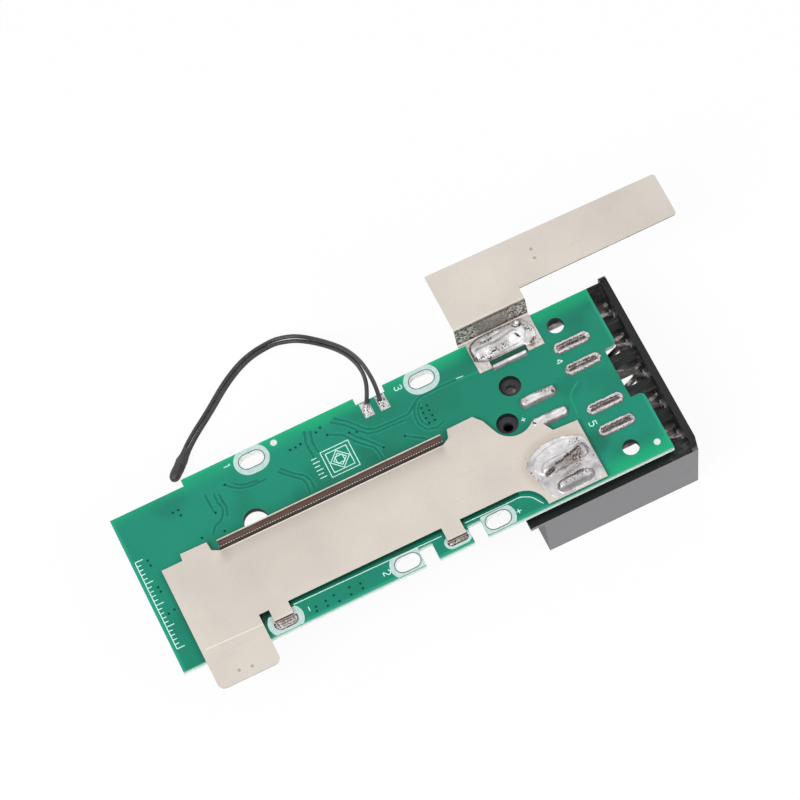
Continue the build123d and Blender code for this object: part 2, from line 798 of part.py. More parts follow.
with BuildPart() as transistor_legs:
    leg_offset = (transistor_body[0] + transistor_leg[0]) / 2
    leg_step = transistor_leg_pitch / 2
    for x, y, z in under(transistor_places):
        with Locations((x - leg_offset, y, z), (x + leg_offset, y + leg_step, z), (x + leg_offset, y - leg_step, z)):
            Box(*transistor_leg, align=hanging)
save(transistor_legs, "transistor_legs")
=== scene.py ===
import math

import bpy
from mathutils import Matrix, Vector, geometry, noise


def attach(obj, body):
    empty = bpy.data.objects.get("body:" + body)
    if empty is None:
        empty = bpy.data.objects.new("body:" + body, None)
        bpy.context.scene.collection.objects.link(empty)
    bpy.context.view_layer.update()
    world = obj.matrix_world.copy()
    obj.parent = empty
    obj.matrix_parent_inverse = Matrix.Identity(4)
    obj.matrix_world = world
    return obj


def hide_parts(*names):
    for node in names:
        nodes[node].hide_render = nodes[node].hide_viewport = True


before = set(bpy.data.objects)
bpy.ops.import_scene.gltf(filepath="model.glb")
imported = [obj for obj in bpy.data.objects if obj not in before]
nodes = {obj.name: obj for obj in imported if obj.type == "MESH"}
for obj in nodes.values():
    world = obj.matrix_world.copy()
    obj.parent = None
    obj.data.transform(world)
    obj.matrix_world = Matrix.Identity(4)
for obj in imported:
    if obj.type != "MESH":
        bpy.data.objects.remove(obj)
scene = bpy.context.scene
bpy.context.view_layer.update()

# Places are millimetres in the row frame, and pieces are made in metres
millimetre = 0.001
boardTop = 16.5
boardMiddle = 15.7
stripTop = 17.45
strapFoot = 16.8
strapTop = 22.8
deckTop = 13.5

# Camera: the photograph's own viewing angle, far off with a long lens
cameraLook = {
    "right": (0.9004, -0.4190, -0.1169),
    "down": (-0.4253, -0.7915, -0.4390),
    "forward": (0.0914, 0.4450, -0.8909),
    "spot": (-0.12019, -0.41798, 0.88415),
    "lens": 216.0,
}


def makeCamera(look):
    data = bpy.data.cameras.new("camera")
    data.lens = look["lens"]
    data.sensor_width = 36.0
    data.clip_start = 0.05
    data.clip_end = 20.0
    camera = bpy.data.objects.new("camera", data)
    right, down, forward = (Vector(look[k]).normalized() for k in ("right", "down", "forward"))
    turn = Matrix((right, -down, -forward)).transposed()
    camera.matrix_world = turn.to_quaternion().to_matrix().to_4x4()
    camera.location = look["spot"]
    scene.collection.objects.link(camera)
    scene.camera = camera


makeCamera(cameraLook)


def addPiece(name, data, instead=None):
    piece = bpy.data.objects.new(name, data)
    scene.collection.objects.link(piece)
    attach(piece, "root")
    if instead:
        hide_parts(instead)
    return piece


# Thermistor bead: a dipped drop whose skin has run into long ridges
beadLook = {
    "origin": (-73.46, 33.71, 1.3),
    "heading": (-0.72897, -0.68455, 0.0),
    "sideways": (-0.68455, 0.72897, 0.0),
    "profile": [
        (0.0, 0.55), (0.05, 0.86), (0.3, 0.98), (1.2, 1.06), (2.6, 1.26), (4.0, 1.28),
        (5.6, 1.27), (6.5, 1.22), (7.1, 1.05), (7.5, 0.75), (7.74, 0.36), (7.8, 0.02),
    ],
    "rings": 90,
    "around": 48,
    "ridges": 0.11,
    "wrinkles": 0.05,
}


def profileAt(profile, along):
    for (before, low), (after, high) in zip(profile, profile[1:]):
        if along <= after:
            return low + (high - low) * (along - before) / (after - before)
    return profile[-1][1]


def makeBead(look):
    origin = Vector(look["origin"])
    heading = Vector(look["heading"])
    sideways = Vector(look["sideways"])
    upwards = Vector((0, 0, 1))
    length = look["profile"][-1][0]
    count = look["around"]
    points, faces = [], []
    for ring in range(look["rings"] + 1):
        share = ring / look["rings"]
        along = length * (share - 0.06 * math.sin(2 * math.pi * share))
        radius = profileAt(look["profile"], along)
        for step in range(count):
            angle = 2 * math.pi * step / count
            spot = Vector((math.cos(angle) * 2.2, math.sin(angle) * 2.2, along * 0.32))
            ridge = abs(noise.noise(spot))
            wrinkle = abs(noise.noise(Vector((along * 1.6, math.cos(angle), math.sin(angle)))))
            reach = radius * (1 - look["ridges"] * ridge * 1.6 - look["wrinkles"] * wrinkle)
            spoke = sideways * math.cos(angle) + upwards * math.sin(angle)
            points.append((origin + heading * along + spoke * reach) * millimetre)
    for ring in range(look["rings"]):
        for step in range(count):
            first = ring * count + step
            second = ring * count + (step + 1) % count
            faces.append((first, second, second + count, first + count))
    faces.append(tuple(reversed(range(count))))
    faces.append(tuple(range(len(points) - count, len(points))))
    data = bpy.data.meshes.new("bead")
    data.from_pydata(points, [], faces)
    for face in data.polygons:
        face.use_smooth = len(face.vertices) == 4
    return addPiece("bead", data, "thermistor_bead")


bead = makeBead(beadLook)

# Thermistor leads: two covered wires from the pads down to the surface and along it to the bead
leadLook = {
    "diameter": 0.0009,
    "left": [
        (-0.0377, 0.0175, 0.01705), (-0.0362, 0.0203, 0.01705), (-0.03507, 0.02476, 0.0148),
        (-0.03495, 0.03013, 0.011), (-0.03599, 0.03629, 0.0062), (-0.03868, 0.04197, 0.0022),
        (-0.0424, 0.04601, 0.0005), (-0.0453, 0.0472, 0.0005), (-0.048, 0.0478, 0.0005),
        (-0.05375, 0.0471, 0.0005), (-0.05965, 0.04405, 0.0005), (-0.0656, 0.0394, 0.0005),
        (-0.0713, 0.03506, 0.0013), (-0.07312, 0.03335, 0.0013),
    ],
    "right": [
        (-0.0349, 0.01685, 0.01705), (-0.0343, 0.0199, 0.01705), (-0.0341, 0.0246, 0.01535),
        (-0.0342, 0.03016, 0.01178), (-0.03547, 0.0366, 0.00705), (-0.0384, 0.0424, 0.00305),
        (-0.04206, 0.04656, 0.0014), (-0.04502, 0.04802, 0.00105), (-0.04795, 0.0488, 0.00052),
        (-0.05402, 0.04804, 0.0005), (-0.06018, 0.04486, 0.0005), (-0.06618, 0.04016, 0.0005),
        (-0.07198, 0.03579, 0.0013), (-0.0738, 0.03407, 0.0013),
    ],
    "length": {"left": 0.0712, "right": 0.0729},
}


def makeLead(side, look):
    data = bpy.data.curves.new("lead_" + side, "CURVE")
    data.dimensions = "3D"
    data.bevel_depth = 1.0
    data.bevel_resolution = 5
    data.use_fill_caps = True
    spline = data.splines.new("NURBS")
    spline.points.add(len(look[side]) - 1)
    for target, point in zip(spline.points, look[side]):
        target.co = (*point, 1.0)
        target.radius = look["diameter"] / 2
    spline.order_u = 3
    spline.use_endpoint_u = True
    spline.resolution_u = 10
    lead = addPiece("lead_" + side, data, "thermistor_lead_" + side)
    return lead


leads = {side: makeLead(side, leadLook) for side in ("left", "right")}
print("bead and leads made")


# Floor, light and background
stageLook = {
    "reach": 1.5,
    "drop": -0.00005,
    "floor": 0.92,
    "white": 0.93,
    "ambient": 0.42,
    "aim": (-0.02, 0, 0.01),
    "size": 0.6,
    "lights": {
        "key": ((-0.48, -0.30, 0.70), 5.0),
        "fill": ((0.45, -0.45, 0.5), 1.9),
        "back": ((0.1, 0.7, 0.6), 1.0),
    },
}


def mixSeen(tree, outKind, plain, seen, strength):
    # Camera, glossy and transmission rays meet the white shader, and all others the plain one
    path = tree.nodes.new("ShaderNodeLightPath")
    share = path.outputs["Is Camera Ray"]
    for kind in ("Is Glossy Ray", "Is Transmission Ray"):
        most = tree.nodes.new("ShaderNodeMath")
        most.operation = "MAXIMUM"
        tree.links.new(share, most.inputs[0])
        tree.links.new(path.outputs[kind], most.inputs[1])
        share = most.outputs[0]
    weaker = tree.nodes.new("ShaderNodeMath")
    weaker.operation = "MULTIPLY"
    weaker.inputs[1].default_value = strength
    mix = tree.nodes.new("ShaderNodeMixShader")
    out = tree.nodes.new(outKind)
    tree.links.new(share, weaker.inputs[0])
    tree.links.new(weaker.outputs[0], mix.inputs["Fac"])
    tree.links.new(plain.outputs[0], mix.inputs[1])
    tree.links.new(seen.outputs[0], mix.inputs[2])
    tree.links.new(mix.outputs[0], out.inputs["Surface"])


def makeFloor(look):
    reach = look["reach"]
    data = bpy.data.meshes.new("floor")
    corners = [(-reach, -reach, 0), (reach, -reach, 0), (reach, reach, 0), (-reach, reach, 0)]
    data.from_pydata(corners, [], [(0, 1, 2, 3)])
    floor = bpy.data.objects.new("floor", data)
    floor.location.z = look["drop"]
    scene.collection.objects.link(floor)
    material = bpy.data.materials.new("floor")
    material.use_nodes = True
    tree = material.node_tree
    tree.nodes.clear()
    pale = tree.nodes.new("ShaderNodeBsdfDiffuse")
    pale.inputs["Color"].default_value = (look["floor"], look["floor"], look["floor"], 1)
    white = tree.nodes.new("ShaderNodeEmission")
    mixSeen(tree, "ShaderNodeOutputMaterial", pale, white, look["white"])
    data.materials.append(material)


def makeWorld(look):
    scene.world = bpy.data.worlds.new("world")
    scene.world.use_nodes = True
    tree = scene.world.node_tree
    tree.nodes.clear()
    shades = []
    for strength in (look["ambient"], 1.0):
        shade = tree.nodes.new("ShaderNodeBackground")
        shade.inputs["Color"].default_value = (1, 1, 1, 1)
        shade.inputs["Strength"].default_value = strength
        shades.append(shade)
    mixSeen(tree, "ShaderNodeOutputWorld", *shades, 1.0)


def makeLights(look):
    for name, (spot, power) in look["lights"].items():
        data = bpy.data.lights.new(name, "AREA")
        data.shape = "DISK"
        data.size = look["size"]
        data.energy = power
        light = bpy.data.objects.new(name, data)
        light.location = spot
        light.rotation_mode = "QUATERNION"
        light.rotation_quaternion = (Vector(look["aim"]) - Vector(spot)).to_track_quat("-Z", "Y")
        scene.collection.objects.link(light)


makeFloor(stageLook)
makeWorld(stageLook)
makeLights(stageLook)
scene.view_settings.view_transform = "Standard"
scene.render.resolution_x = 800
scene.render.resolution_y = 800
print("stage made")


# Materials
def linear(colour):
    # Screen colour out of 255 to the renderer's linear colour
    return tuple((c / 255 / 12.92) if c <= 10 else ((c / 255 + 0.055) / 1.055) ** 2.4 for c in colour)


class Shader:
    def __init__(self, name, **settings):
        self.material = bpy.data.materials.new(name)
        self.material.use_nodes = True
        self.tree = self.material.node_tree
        self.surface = self.tree.nodes["Principled BSDF"]
        for key, value in settings.items():
            self.surface.inputs[key.replace("_", " ")].default_value = value
        self.coords = self.add("ShaderNodeTexCoord").outputs["Object"]

    def add(self, kind, **settings):
        node = self.tree.nodes.new(kind)
        for key, value in settings.items():
            setattr(node, key, value)
        return node

    def link(self, source, target):
        self.tree.links.new(source, target)

    def fill(self, value, target):
        # A socket is linked, three numbers are a screen colour, and one number is set as it is
        if hasattr(value, "is_output"):
            self.link(value, target)
        else:
            target.default_value = (*linear(value), 1) if isinstance(value, tuple) else value

    def noise(self, scale, detail=4.0, roughness=0.5, stretch=None):
        node = self.add("ShaderNodeTexNoise")
        for key, value in (("Scale", scale), ("Detail", detail), ("Roughness", roughness)):
            node.inputs[key].default_value = value
        source = self.coords
        if stretch:
            scaled = self.add("ShaderNodeVectorMath", operation="MULTIPLY")
            scaled.inputs[1].default_value = stretch
            self.link(source, scaled.inputs[0])
            source = scaled.outputs[0]
        self.link(source, node.inputs["Vector"])
        return node.outputs["Fac"]

    def ramp(self, source, *stops):
        node = self.add("ShaderNodeValToRGB")
        ramp = node.color_ramp
        while len(ramp.elements) < len(stops):
            ramp.elements.new(0.5)
        for element, (spot, colour) in zip(ramp.elements, stops):
            element.position = spot
            element.color = (*linear(colour), 1)
        self.link(source, node.inputs["Fac"])
        return node.outputs["Color"]

    def blend(self, source, shades):
        return self.ramp(source, (0.3, shades[0]), (0.7, shades[1]))

    def mix(self, factor, first, second):
        node = self.add("ShaderNodeMix", data_type="RGBA")
        for value, spot in ((factor, 0), (first, 6), (second, 7)):
            self.fill(value, node.inputs[spot])
        return node.outputs[2]

    def tint(self, tone, share, colour, strength=1.0):
        # Lays a colour over the tone by a share and a strength
        return self.mix(share if strength == 1.0 else self.times(share, strength), tone, colour)

    def math(self, operation, first, second=0.5, clamp=False):
        node = self.add("ShaderNodeMath", operation=operation, use_clamp=clamp)
        self.fill(first, node.inputs[0])
        self.fill(second, node.inputs[1])
        return node.outputs[0]

    def times(self, first, *others):
        for other in others:
            first = self.math("MULTIPLY", first, other)
        return first

    def most(self, first, *others):
        for other in others:
            first = self.math("MAXIMUM", first, other)
        return first

    def plus(self, first, second):
        return self.math("ADD", first, second)

    def minus(self, first, second, clamp=False):
        return self.math("SUBTRACT", first, second, clamp)

    def step(self, source, low, high):
        # 0 below low, 1 above high, smooth between; low above high turns it round
        node = self.add("ShaderNodeMapRange", interpolation_type="SMOOTHSTEP")
        self.link(source, node.inputs["Value"])
        ends = (low, high, 0.0, 1.0) if low <= high else (high, low, 1.0, 0.0)
        for key, value in zip(("From Min", "From Max", "To Min", "To Max"), ends):
            node.inputs[key].default_value = value
        return node.outputs["Result"]

    def band(self, source, low, high, soft):
        return self.times(self.step(source, low - soft, low), self.step(source, high + soft, high))

    def bump(self, height, strength=0.3, distance=0.0001):
        node = self.add("ShaderNodeBump")
        node.inputs["Strength"].default_value = strength
        node.inputs["Distance"].default_value = distance
        self.link(height, node.inputs["Height"])
        self.link(node.outputs["Normal"], self.surface.inputs["Normal"])

    def use(self, source, name="Base Color"):
        self.link(source, self.surface.inputs[name])

    def part(self, source, axis):
        split = self.add("ShaderNodeSeparateXYZ")
        self.link(source, split.inputs[0])
        return split.outputs[axis]

    def facing(self, axis, both=False):
        # How far the surface faces along an axis, or along it either way
        share = self.part(self.add("ShaderNodeNewGeometry").outputs["Normal"], axis)
        return self.math("ABSOLUTE", share) if both else share

    def along(self, axis):
        # Millimetres along an axis of the row frame
        return self.times(self.part(self.coords, axis), 1000.0)

    def near(self, spot, radius, soft):
        node = self.add("ShaderNodeVectorMath", operation="DISTANCE")
        self.link(self.coords, node.inputs[0])
        node.inputs[1].default_value = [c * millimetre for c in spot]
        return self.step(self.times(node.outputs["Value"], 1000.0), radius + soft, radius)

    def held(self, name):
        return self.add("ShaderNodeAttribute", attribute_name=name).outputs["Fac"]


maskLook = {
    "shades": ((15, 123, 99), (23, 140, 115)),
    "deep": (13, 108, 87),
    "light": (40, 168, 136),
    "sides": (-94.75, 13.25, -20.25, 20.25),
    "rim": 0.9,
    "paintedGlow": (20, 176, 118),
    "paintedGlowBack": (16.2, 19.8),
    "paintedGlowFront": (-15.5, -19.5),
    "besideBlock": (-4.0, 1.0),
    "pools": [
        (0.0, -12.0, 1.2, 0.9), (0.5, 2.0, 1.2, 0.5), (-41.0, 8.0, 1.5, 0.6), (8.0, 13.5, 1.0, 0.4),
    ],
    "stainAndShade": (18, 52, 44),
    "stainAndShadeArea": (-11.3, -3.4, 13.5, 14.8),
    "shade": (4, 52, 36),
    "shaded": ((-70.5, -35.3), (-32.0, -19.0)),
    "stripFront": (-16.1, -14.7),
    "frontPart": (-10.0, -12.0),
    "notchShade": (10, 34, 26),
    "notch": (-76.6, -74.0),
    "notchFront": (-18.0, -15.8),
    "edge": ((206, 226, 218), (226, 240, 234)),
    "edgeTop": (96, 162, 136),
    "bores": [
        (-68.25, 4.85, 2.6), (-10.05, 7.65, 2.3), (-14.15, 0.25, 2.3),
        (4.05, 15.65, 1.75), (5.55, -16.25, 1.75),
    ],
    "boreShade": (34, 44, 40),
}


def maskMaterial(look):
    s = Shader("solder_mask", Roughness=0.3, Specular_IOR_Level=0.22)
    across, lengthways = s.along("Y"), s.along("X")
    green = s.ramp(s.noise(16, 2), (0.35, look["shades"][0]), (0.65, look["shades"][1]))
    green = s.tint(green, s.step(s.noise(70, 2, 0.4), 0.48, 0.62), look["deep"], 0.5)
    green = s.tint(green, s.noise(1100, 3), look["light"], 0.1)
    left, right, front, back = look["sides"]
    rim = s.most(
        s.step(lengthways, left + look["rim"], left + 0.2),
        s.step(lengthways, right - look["rim"], right - 0.2),
        s.step(across, front + look["rim"], front + 0.2),
        s.step(across, back - look["rim"], back - 0.2),
    )
    green = s.tint(green, rim, look["light"], 0.55)
    # Painted light: the long edges get a purer, brighter green, a painted glow, the front one only beside the
    # block
    beside = s.times(s.step(across, *look["paintedGlowFront"]), s.step(lengthways, *look["besideBlock"]))
    uneven = s.plus(0.3, s.times(s.step(s.noise(60, 2), 0.35, 0.6), 0.35))
    paintedGlowShare = s.most(s.step(across, *look["paintedGlowBack"]), beside)
    green = s.tint(green, s.times(paintedGlowShare, uneven), look["paintedGlow"])
    # Darker patches lie on the board between the legs and at two spots elsewhere, and painted shade darkens
    # the notch in front of the strap's foot
    for x, y, radius, strength in look["pools"]:
        green = s.tint(green, s.near((x, y, boardTop), radius, 2.6), look["deep"], strength)
    x0, x1, y0, y1 = look["stainAndShadeArea"]
    stainAndShadeArea = s.times(s.band(lengthways, x0, x1, 0.3), s.band(across, y0, y1, 0.2))
    green = s.tint(green, stainAndShadeArea, look["stainAndShade"], 0.75)
    # Painted shadow: the strip's front edge casts a painted shadow on the board just in front of it, darkest
    # in the notch beside its tab
    frontPart = s.step(across, *look["frontPart"])
    close = s.times(s.step(across, *look["stripFront"]), frontPart)
    for x0, x1 in look["shaded"]:
        green = s.tint(green, s.times(s.band(lengthways, x0, x1, 0.2), close), look["shade"], 0.85)
    notchFront = s.step(across, *look["notchFront"])
    notch = s.times(s.band(lengthways, *look["notch"], 0.1), notchFront, frontPart)
    green = s.tint(green, notch, look["notchShade"], 0.9)
    weave = s.noise(1500, 3, 0.6, stretch=(0.3, 0.3, 2.5))
    edge = s.ramp(weave, (0.3, look["edge"][0]), (0.65, look["edge"][1]))
    edge = s.tint(edge, s.step(s.along("Z"), 15.3, 16.5), look["edgeTop"])
    # Painted shade: the walls of the board's round holes are darkened
    for x, y, radius in look["bores"]:
        edge = s.tint(edge, s.near((x, y, boardMiddle), radius + 0.3, 0.2), look["boreShade"])
    level = s.step(s.facing("Z", both=True), 0.4, 0.6)
    s.use(s.mix(level, edge, green))
    s.use(s.minus(0.62, s.times(level, 0.32)), "Roughness")
    s.bump(s.noise(1900, 3), 0.08, 0.00003)
    return s.material


nickelLook = {
    "shades": ((196, 188, 179), (209, 201, 191)),
    "speck": (150, 138, 128),
    "flange": ((18, 12, 9), (66, 46, 42), (104, 74, 68), (232, 222, 212)),
    "flangeRows": (0.5, 3.0),
    "creaseGlints": (246, 232, 220),
    "creaseGlintLevels": (18.86, 19.04),
    "tabReflectionStripes": ((70, 54, 46), (200, 190, 182)),
    "tabRows": (-15.4, -15.7),
    "paintedFrontLight": (-74.5, -30.5),
    "pale": (230, 222, 212),
    "riser": ((104, 99, 90), (150, 146, 138)),
    "riserRows": (19.5, 20.0),
    "riserEnds": ((-10.4, -11.6), (-5.6, -3.4)),
    "flecks": ((58, 54, 50), (14, 12, 10), (214, 208, 200)),
    "bendShade": (60, 52, 46),
    "bendShadeLevels": ((17.6, 17.1), (21.7, 22.1)),
    "wet": ((186, 178, 172), (222, 218, 216)),
    "wetRows": (12.7, 20.3),
    "wetLevels": (17.0, 16.9),
    "wetSpeck": (96, 84, 76),
    "stainAndShade": (104, 76, 66),
    "stainAndShadeArea": (-2.0, 14.2, strapFoot),
    "halo": (176, 158, 140),
    "haloReach": 5.3,
    "puddle": ((-10.0, -12.5, stripTop), (-7.2, -12.2, stripTop)),
    "dimple": (120, 106, 96),
    "dimples": [
        (-84.75, -23.95, stripTop), (-82.05, -24.35, stripTop),
        (6.35, 30.65, strapTop), (6.15, 28.45, strapTop),
    ],
    "crease": ((-88.75, -16.75), (-76.25, -17.15)),
    "creaseHighlight": (246, 242, 236),
}


def flangeBands(s, look, over, lengthways):
    # Painted reflection: the flange's front is painted in bands as if mirroring the dark strip in front of
    # it, with painted glints along its crease
    low, middle, high, rim = look["flange"]
    bands = s.ramp(
        s.times(s.minus(over, stripTop), 0.25),
        (0.0, middle), (0.08, low), (0.32, low), (0.40, middle), (0.62, high), (0.86, middle), (0.92, high),
        (0.96, rim),
    )
    streaks = s.noise(1300, 3, 0.7, stretch=(0.25, 1.0, 3.0))
    bands = s.tint(bands, s.step(streaks, 0.42, 0.66), low, 0.55)
    creaseGlints = s.math("GREATER_THAN", s.math("SINE", s.times(lengthways, 11.0)), -0.1)
    return s.tint(bands, s.times(creaseGlints, s.band(over, *look["creaseGlintLevels"], 0.08)), look["creaseGlints"], 0.9)


def riserTone(s, look, over, lengthways):
    # The strap's riser is dull and speckled at both ends; its grey, darker than the flat nickel, is painted
    # shade on its upright faces, and painted shade darkens its bends further
    dull = s.blend(s.noise(420, 4, 0.6), look["riser"])
    dark, darkest, light = look["flecks"]
    left, right = look["riserEnds"]
    low, high = look["bendShadeLevels"]
    leftEnd = s.step(lengthways, *left)
    flecks = s.mix(s.step(s.noise(2600, 2, 0.6), 0.45, 0.55), s.mix(leftEnd, dark, darkest), light)
    ends = s.most(leftEnd, s.step(lengthways, *right))
    dull = s.mix(s.plus(s.times(ends, 0.72), 0.2), dull, flecks)
    bendShade = s.most(s.step(over, *low), s.step(over, *high))
    return s.tint(dull, bendShade, look["bendShade"], 0.6)


def nickelMaterial(look):
    s = Shader("nickel", Metallic=0.3, Roughness=0.42)
    fine = s.noise(1700, 4, 0.6)
    over, lengthways, across = s.along("Z"), s.along("X"), s.along("Y")
    tone = s.blend(s.noise(55, 3), look["shades"])
    tone = s.tint(tone, s.step(fine, 0.5, 0.75), look["speck"], 0.1)
    scratch = s.noise(900, 3, 0.6, stretch=(0.06, 1.0, 1.0))
    tone = s.tint(tone, s.step(scratch, 0.64, 0.74), look["speck"], 0.12)
    # Painted light: the flat sheet just in front of the flange is lightened to cancel the flange's shade, so
    # it stays as light as the rest
    paintedFrontLight = s.times(s.step(across, -4.0, 1.6), s.band(lengthways, *look["paintedFrontLight"], 3.0))
    tone = s.tint(tone, paintedFrontLight, look["pale"], 0.42)
    front = s.step(s.facing("Y"), -0.5, -0.8)
    flange = s.times(front, s.band(across, *look["flangeRows"], 0.3))
    tone = s.mix(flange, tone, flangeBands(s, look, over, lengthways))
    # Painted reflection: the folded tabs' fronts are striped brown and pale as if mirroring their slots
    folds = s.times(front, s.step(across, *look["tabRows"]))
    tabReflectionStripes = s.step(s.math("SINE", s.times(over, 4.6)), 0.1, 0.8)
    tone = s.mix(folds, tone, s.mix(tabReflectionStripes, *look["tabReflectionStripes"]))
    riser = s.times(s.step(s.facing("Y", both=True), 0.55, 0.85), s.step(across, *look["riserRows"]))
    tone = s.mix(riser, tone, riserTone(s, look, over, lengthways))
    # Solder has wetted the strap's foot and left it whitish, specked and stained
    foot = s.times(s.step(over, *look["wetLevels"]), s.band(across, *look["wetRows"], 0.4))
    foot = s.times(foot, s.step(s.facing("Z"), 0.5, 0.8))
    wet = s.blend(s.noise(900, 4, 0.6), look["wet"])
    wet = s.tint(wet, s.step(s.noise(1500, 3, 0.7), 0.60, 0.66), look["wetSpeck"])
    tone = s.tint(tone, foot, wet, 0.85)
    tone = s.tint(tone, s.near(look["stainAndShadeArea"], 0.5, 0.5), look["stainAndShade"], 0.8)
    # A faint brown stain lies round the negative strip's puddle
    halo = s.most(*(s.near(spot, look["haloReach"], 1.6) for spot in look["puddle"]))
    tone = s.tint(tone, halo, look["halo"], 0.4)
    # Punched dimples, and the free tab's faint crease with a painted highlight along it
    marks = s.most(*(s.near(spot, 0.25, 0.2) for spot in look["dimples"]))
    tone = s.tint(tone, marks, look["dimple"], 0.55)
    (x0, y0), (x1, y1) = look["crease"]
    slope = (y1 - y0) / (x1 - x0)
    line = s.minus(across, s.plus(s.times(lengthways, slope), y0 - slope * x0))
    fold = s.times(s.band(line, -0.03, 0.03, 0.12), s.band(lengthways, x0, x1, 0.3))
    s.use(s.tint(tone, fold, look["creaseHighlight"], 0.6))
    s.use(s.minus(0.3, s.times(s.most(flange, riser), 0.1)), "Metallic")
    s.use(s.plus(s.times(fine, 0.16), 0.36), "Roughness")
    s.bump(s.minus(s.times(fine, 0.25), s.plus(marks, s.times(fold, 0.6))), 0.22, 0.00006)
    return s.material


solderLook = {
    "shades": ((180, 177, 179), (218, 216, 217), (244, 243, 243)),
    "dull": (108, 104, 106),
    "side": (84, 78, 80),
    "oxide": (30, 25, 22),
    "flux": (116, 98, 88),
}


def solderMaterial(look):
    s = Shader("solder", Metallic=0.75)
    broad = s.noise(420, 4, 0.55)
    fine = s.noise(2600, 4, 0.7)
    grime = s.held("grime")
    tone = s.ramp(broad, *zip((0.3, 0.5, 0.7), look["shades"]))
    # The held shade darkens the tone towards a dull grey: painted shade in the puddle's creases and on its
    # lower lump's front, and a darker grey over whole heaps
    tone = s.tint(tone, s.held("shade"), look["dull"])
    # Painted reflection: the sides are darkened as if mirroring the dark things round them
    tone = s.tint(tone, s.step(s.facing("Z"), 0.97, 0.6), look["side"], 0.6)
    ragged = s.plus(0.4, s.times(s.step(fine, 0.36, 0.62), 0.85))
    worn = s.math("MULTIPLY", grime, ragged, clamp=True)
    tone = s.tint(tone, s.step(fine, 0.62, 0.74), look["flux"], 0.3)
    tone = s.tint(tone, s.step(worn, 0.12, 0.6), look["flux"])
    s.use(s.tint(tone, s.step(worn, 0.4, 0.85), look["oxide"]))
    s.use(s.plus(0.22, s.times(s.plus(fine, grime), 0.22)), "Roughness")
    s.use(s.minus(0.5, s.times(grime, 0.4), clamp=True), "Metallic")
    s.bump(s.plus(s.times(broad, 0.6), s.times(fine, 0.5)))
    return s.material


padLook = {
    "shades": ((170, 198, 194), (196, 218, 214)),
    "cover": (6, 84, 62),
    "shadedMaskCover": ((-16.1, -15.9), (1.0, 0.0)),
    "wall": (246, 248, 246),
}


def padMaterial(look):
    s = Shader("tinned", Metallic=0.25, Roughness=0.42)
    fine = s.noise(1300, 4, 0.6)
    tone = s.blend(fine, look["shades"])
    # Solder mask, darkened as painted shade from the strip, covers the front pads up to the printed line
    across = s.along("Y")
    shadedMaskCover = s.times(*(s.step(across, *ends) for ends in look["shadedMaskCover"]))
    tone = s.tint(tone, shadedMaskCover, look["cover"])
    # Painted light: the upright walls of the pads and slots are painted near white as if lit
    wall = s.step(s.facing("Z", both=True), 0.6, 0.4)
    s.use(s.tint(tone, wall, look["wall"]))
    s.bump(fine, 0.2, 0.00004)
    return s.material


def silverMaterial():
    s = Shader("pad_metal", Metallic=0.5, Roughness=0.38)
    fine = s.noise(2400, 3, 0.7)
    s.use(s.ramp(fine, (0.32, (146, 140, 138)), (0.5, (214, 208, 206)), (0.7, (240, 236, 234))))
    s.bump(fine, 0.5, 0.00008)
    return s.material


plasticLook = {
    "shades": ((19, 18, 20), (28, 27, 30)),
    "paintedSheen": (79, 78, 83),
    "sheenSides": (21.2, 21.6),
    "drag": (52, 51, 54),
    "deck": (22, 27, 26),
    "boss": (84, 80, 84),
    "bosses": ((13.6, 13.9), (11.0, 10.0)),
    "mottle": (88, 78, 80),
    "mouth": ((8.0, 9.0), (14.6, 14.2)),
}


def plasticMaterial(look):
    s = Shader("black_plastic", Specular_IOR_Level=0.45, Coat_Roughness=0.22)
    fine = s.noise(3200, 3)
    lengthways, over = s.along("X"), s.along("Z")
    tone = s.blend(s.noise(110, 3), look["shades"])
    # Painted reflection: the long upright sides get a lighter grey, as if mirroring the bright room, and a
    # coat
    outside = s.step(s.math("ABSOLUTE", s.along("Y")), *look["sheenSides"])
    sheenSides = s.times(s.step(s.facing("Y", both=True), 0.75, 0.95), outside)
    tone = s.tint(tone, sheenSides, look["paintedSheen"])
    drag = s.noise(260, 3, 0.5, stretch=(0.15, 1.0, 1.0))
    tone = s.tint(tone, s.times(drag, sheenSides), look["drag"], 0.3)
    # The deck's top is tinted a dull greenish dark grey
    deck = s.times(s.band(over, deckTop - 0.2, deckTop + 0.2, 0.1), s.step(s.facing("Z"), 0.7, 0.9))
    tone = s.tint(tone, deck, look["deck"], 0.7)
    # Painted highlight: the bosses under the board get a lighter grey; they are also rough and dull
    levels, lengths = look["bosses"]
    boss = s.times(s.step(over, *levels), s.step(lengthways, *lengths))
    tone = s.tint(tone, boss, look["boss"], 0.7)
    # Painted reflection: its mouth is mottled with the springs it mirrors
    springReflection = s.step(s.noise(330, 4, 0.65, stretch=(0.6, 1.6, 1.0)), 0.5, 0.62)
    lengths, levels = look["mouth"]
    mouth = s.times(s.step(lengthways, *lengths), s.step(over, *levels), springReflection)
    s.use(s.tint(tone, mouth, look["mottle"], 0.6))
    s.use(sheenSides, "Coat Weight")
    s.use(s.minus(s.plus(0.26, s.times(sheenSides, 0.2)), s.times(boss, 0.1)), "Specular IOR Level")
    s.use(s.plus(s.times(fine, 0.2), s.plus(0.3, s.times(boss, 0.4))), "Roughness")
    s.bump(fine, 0.22, 0.00003)
    return s.material


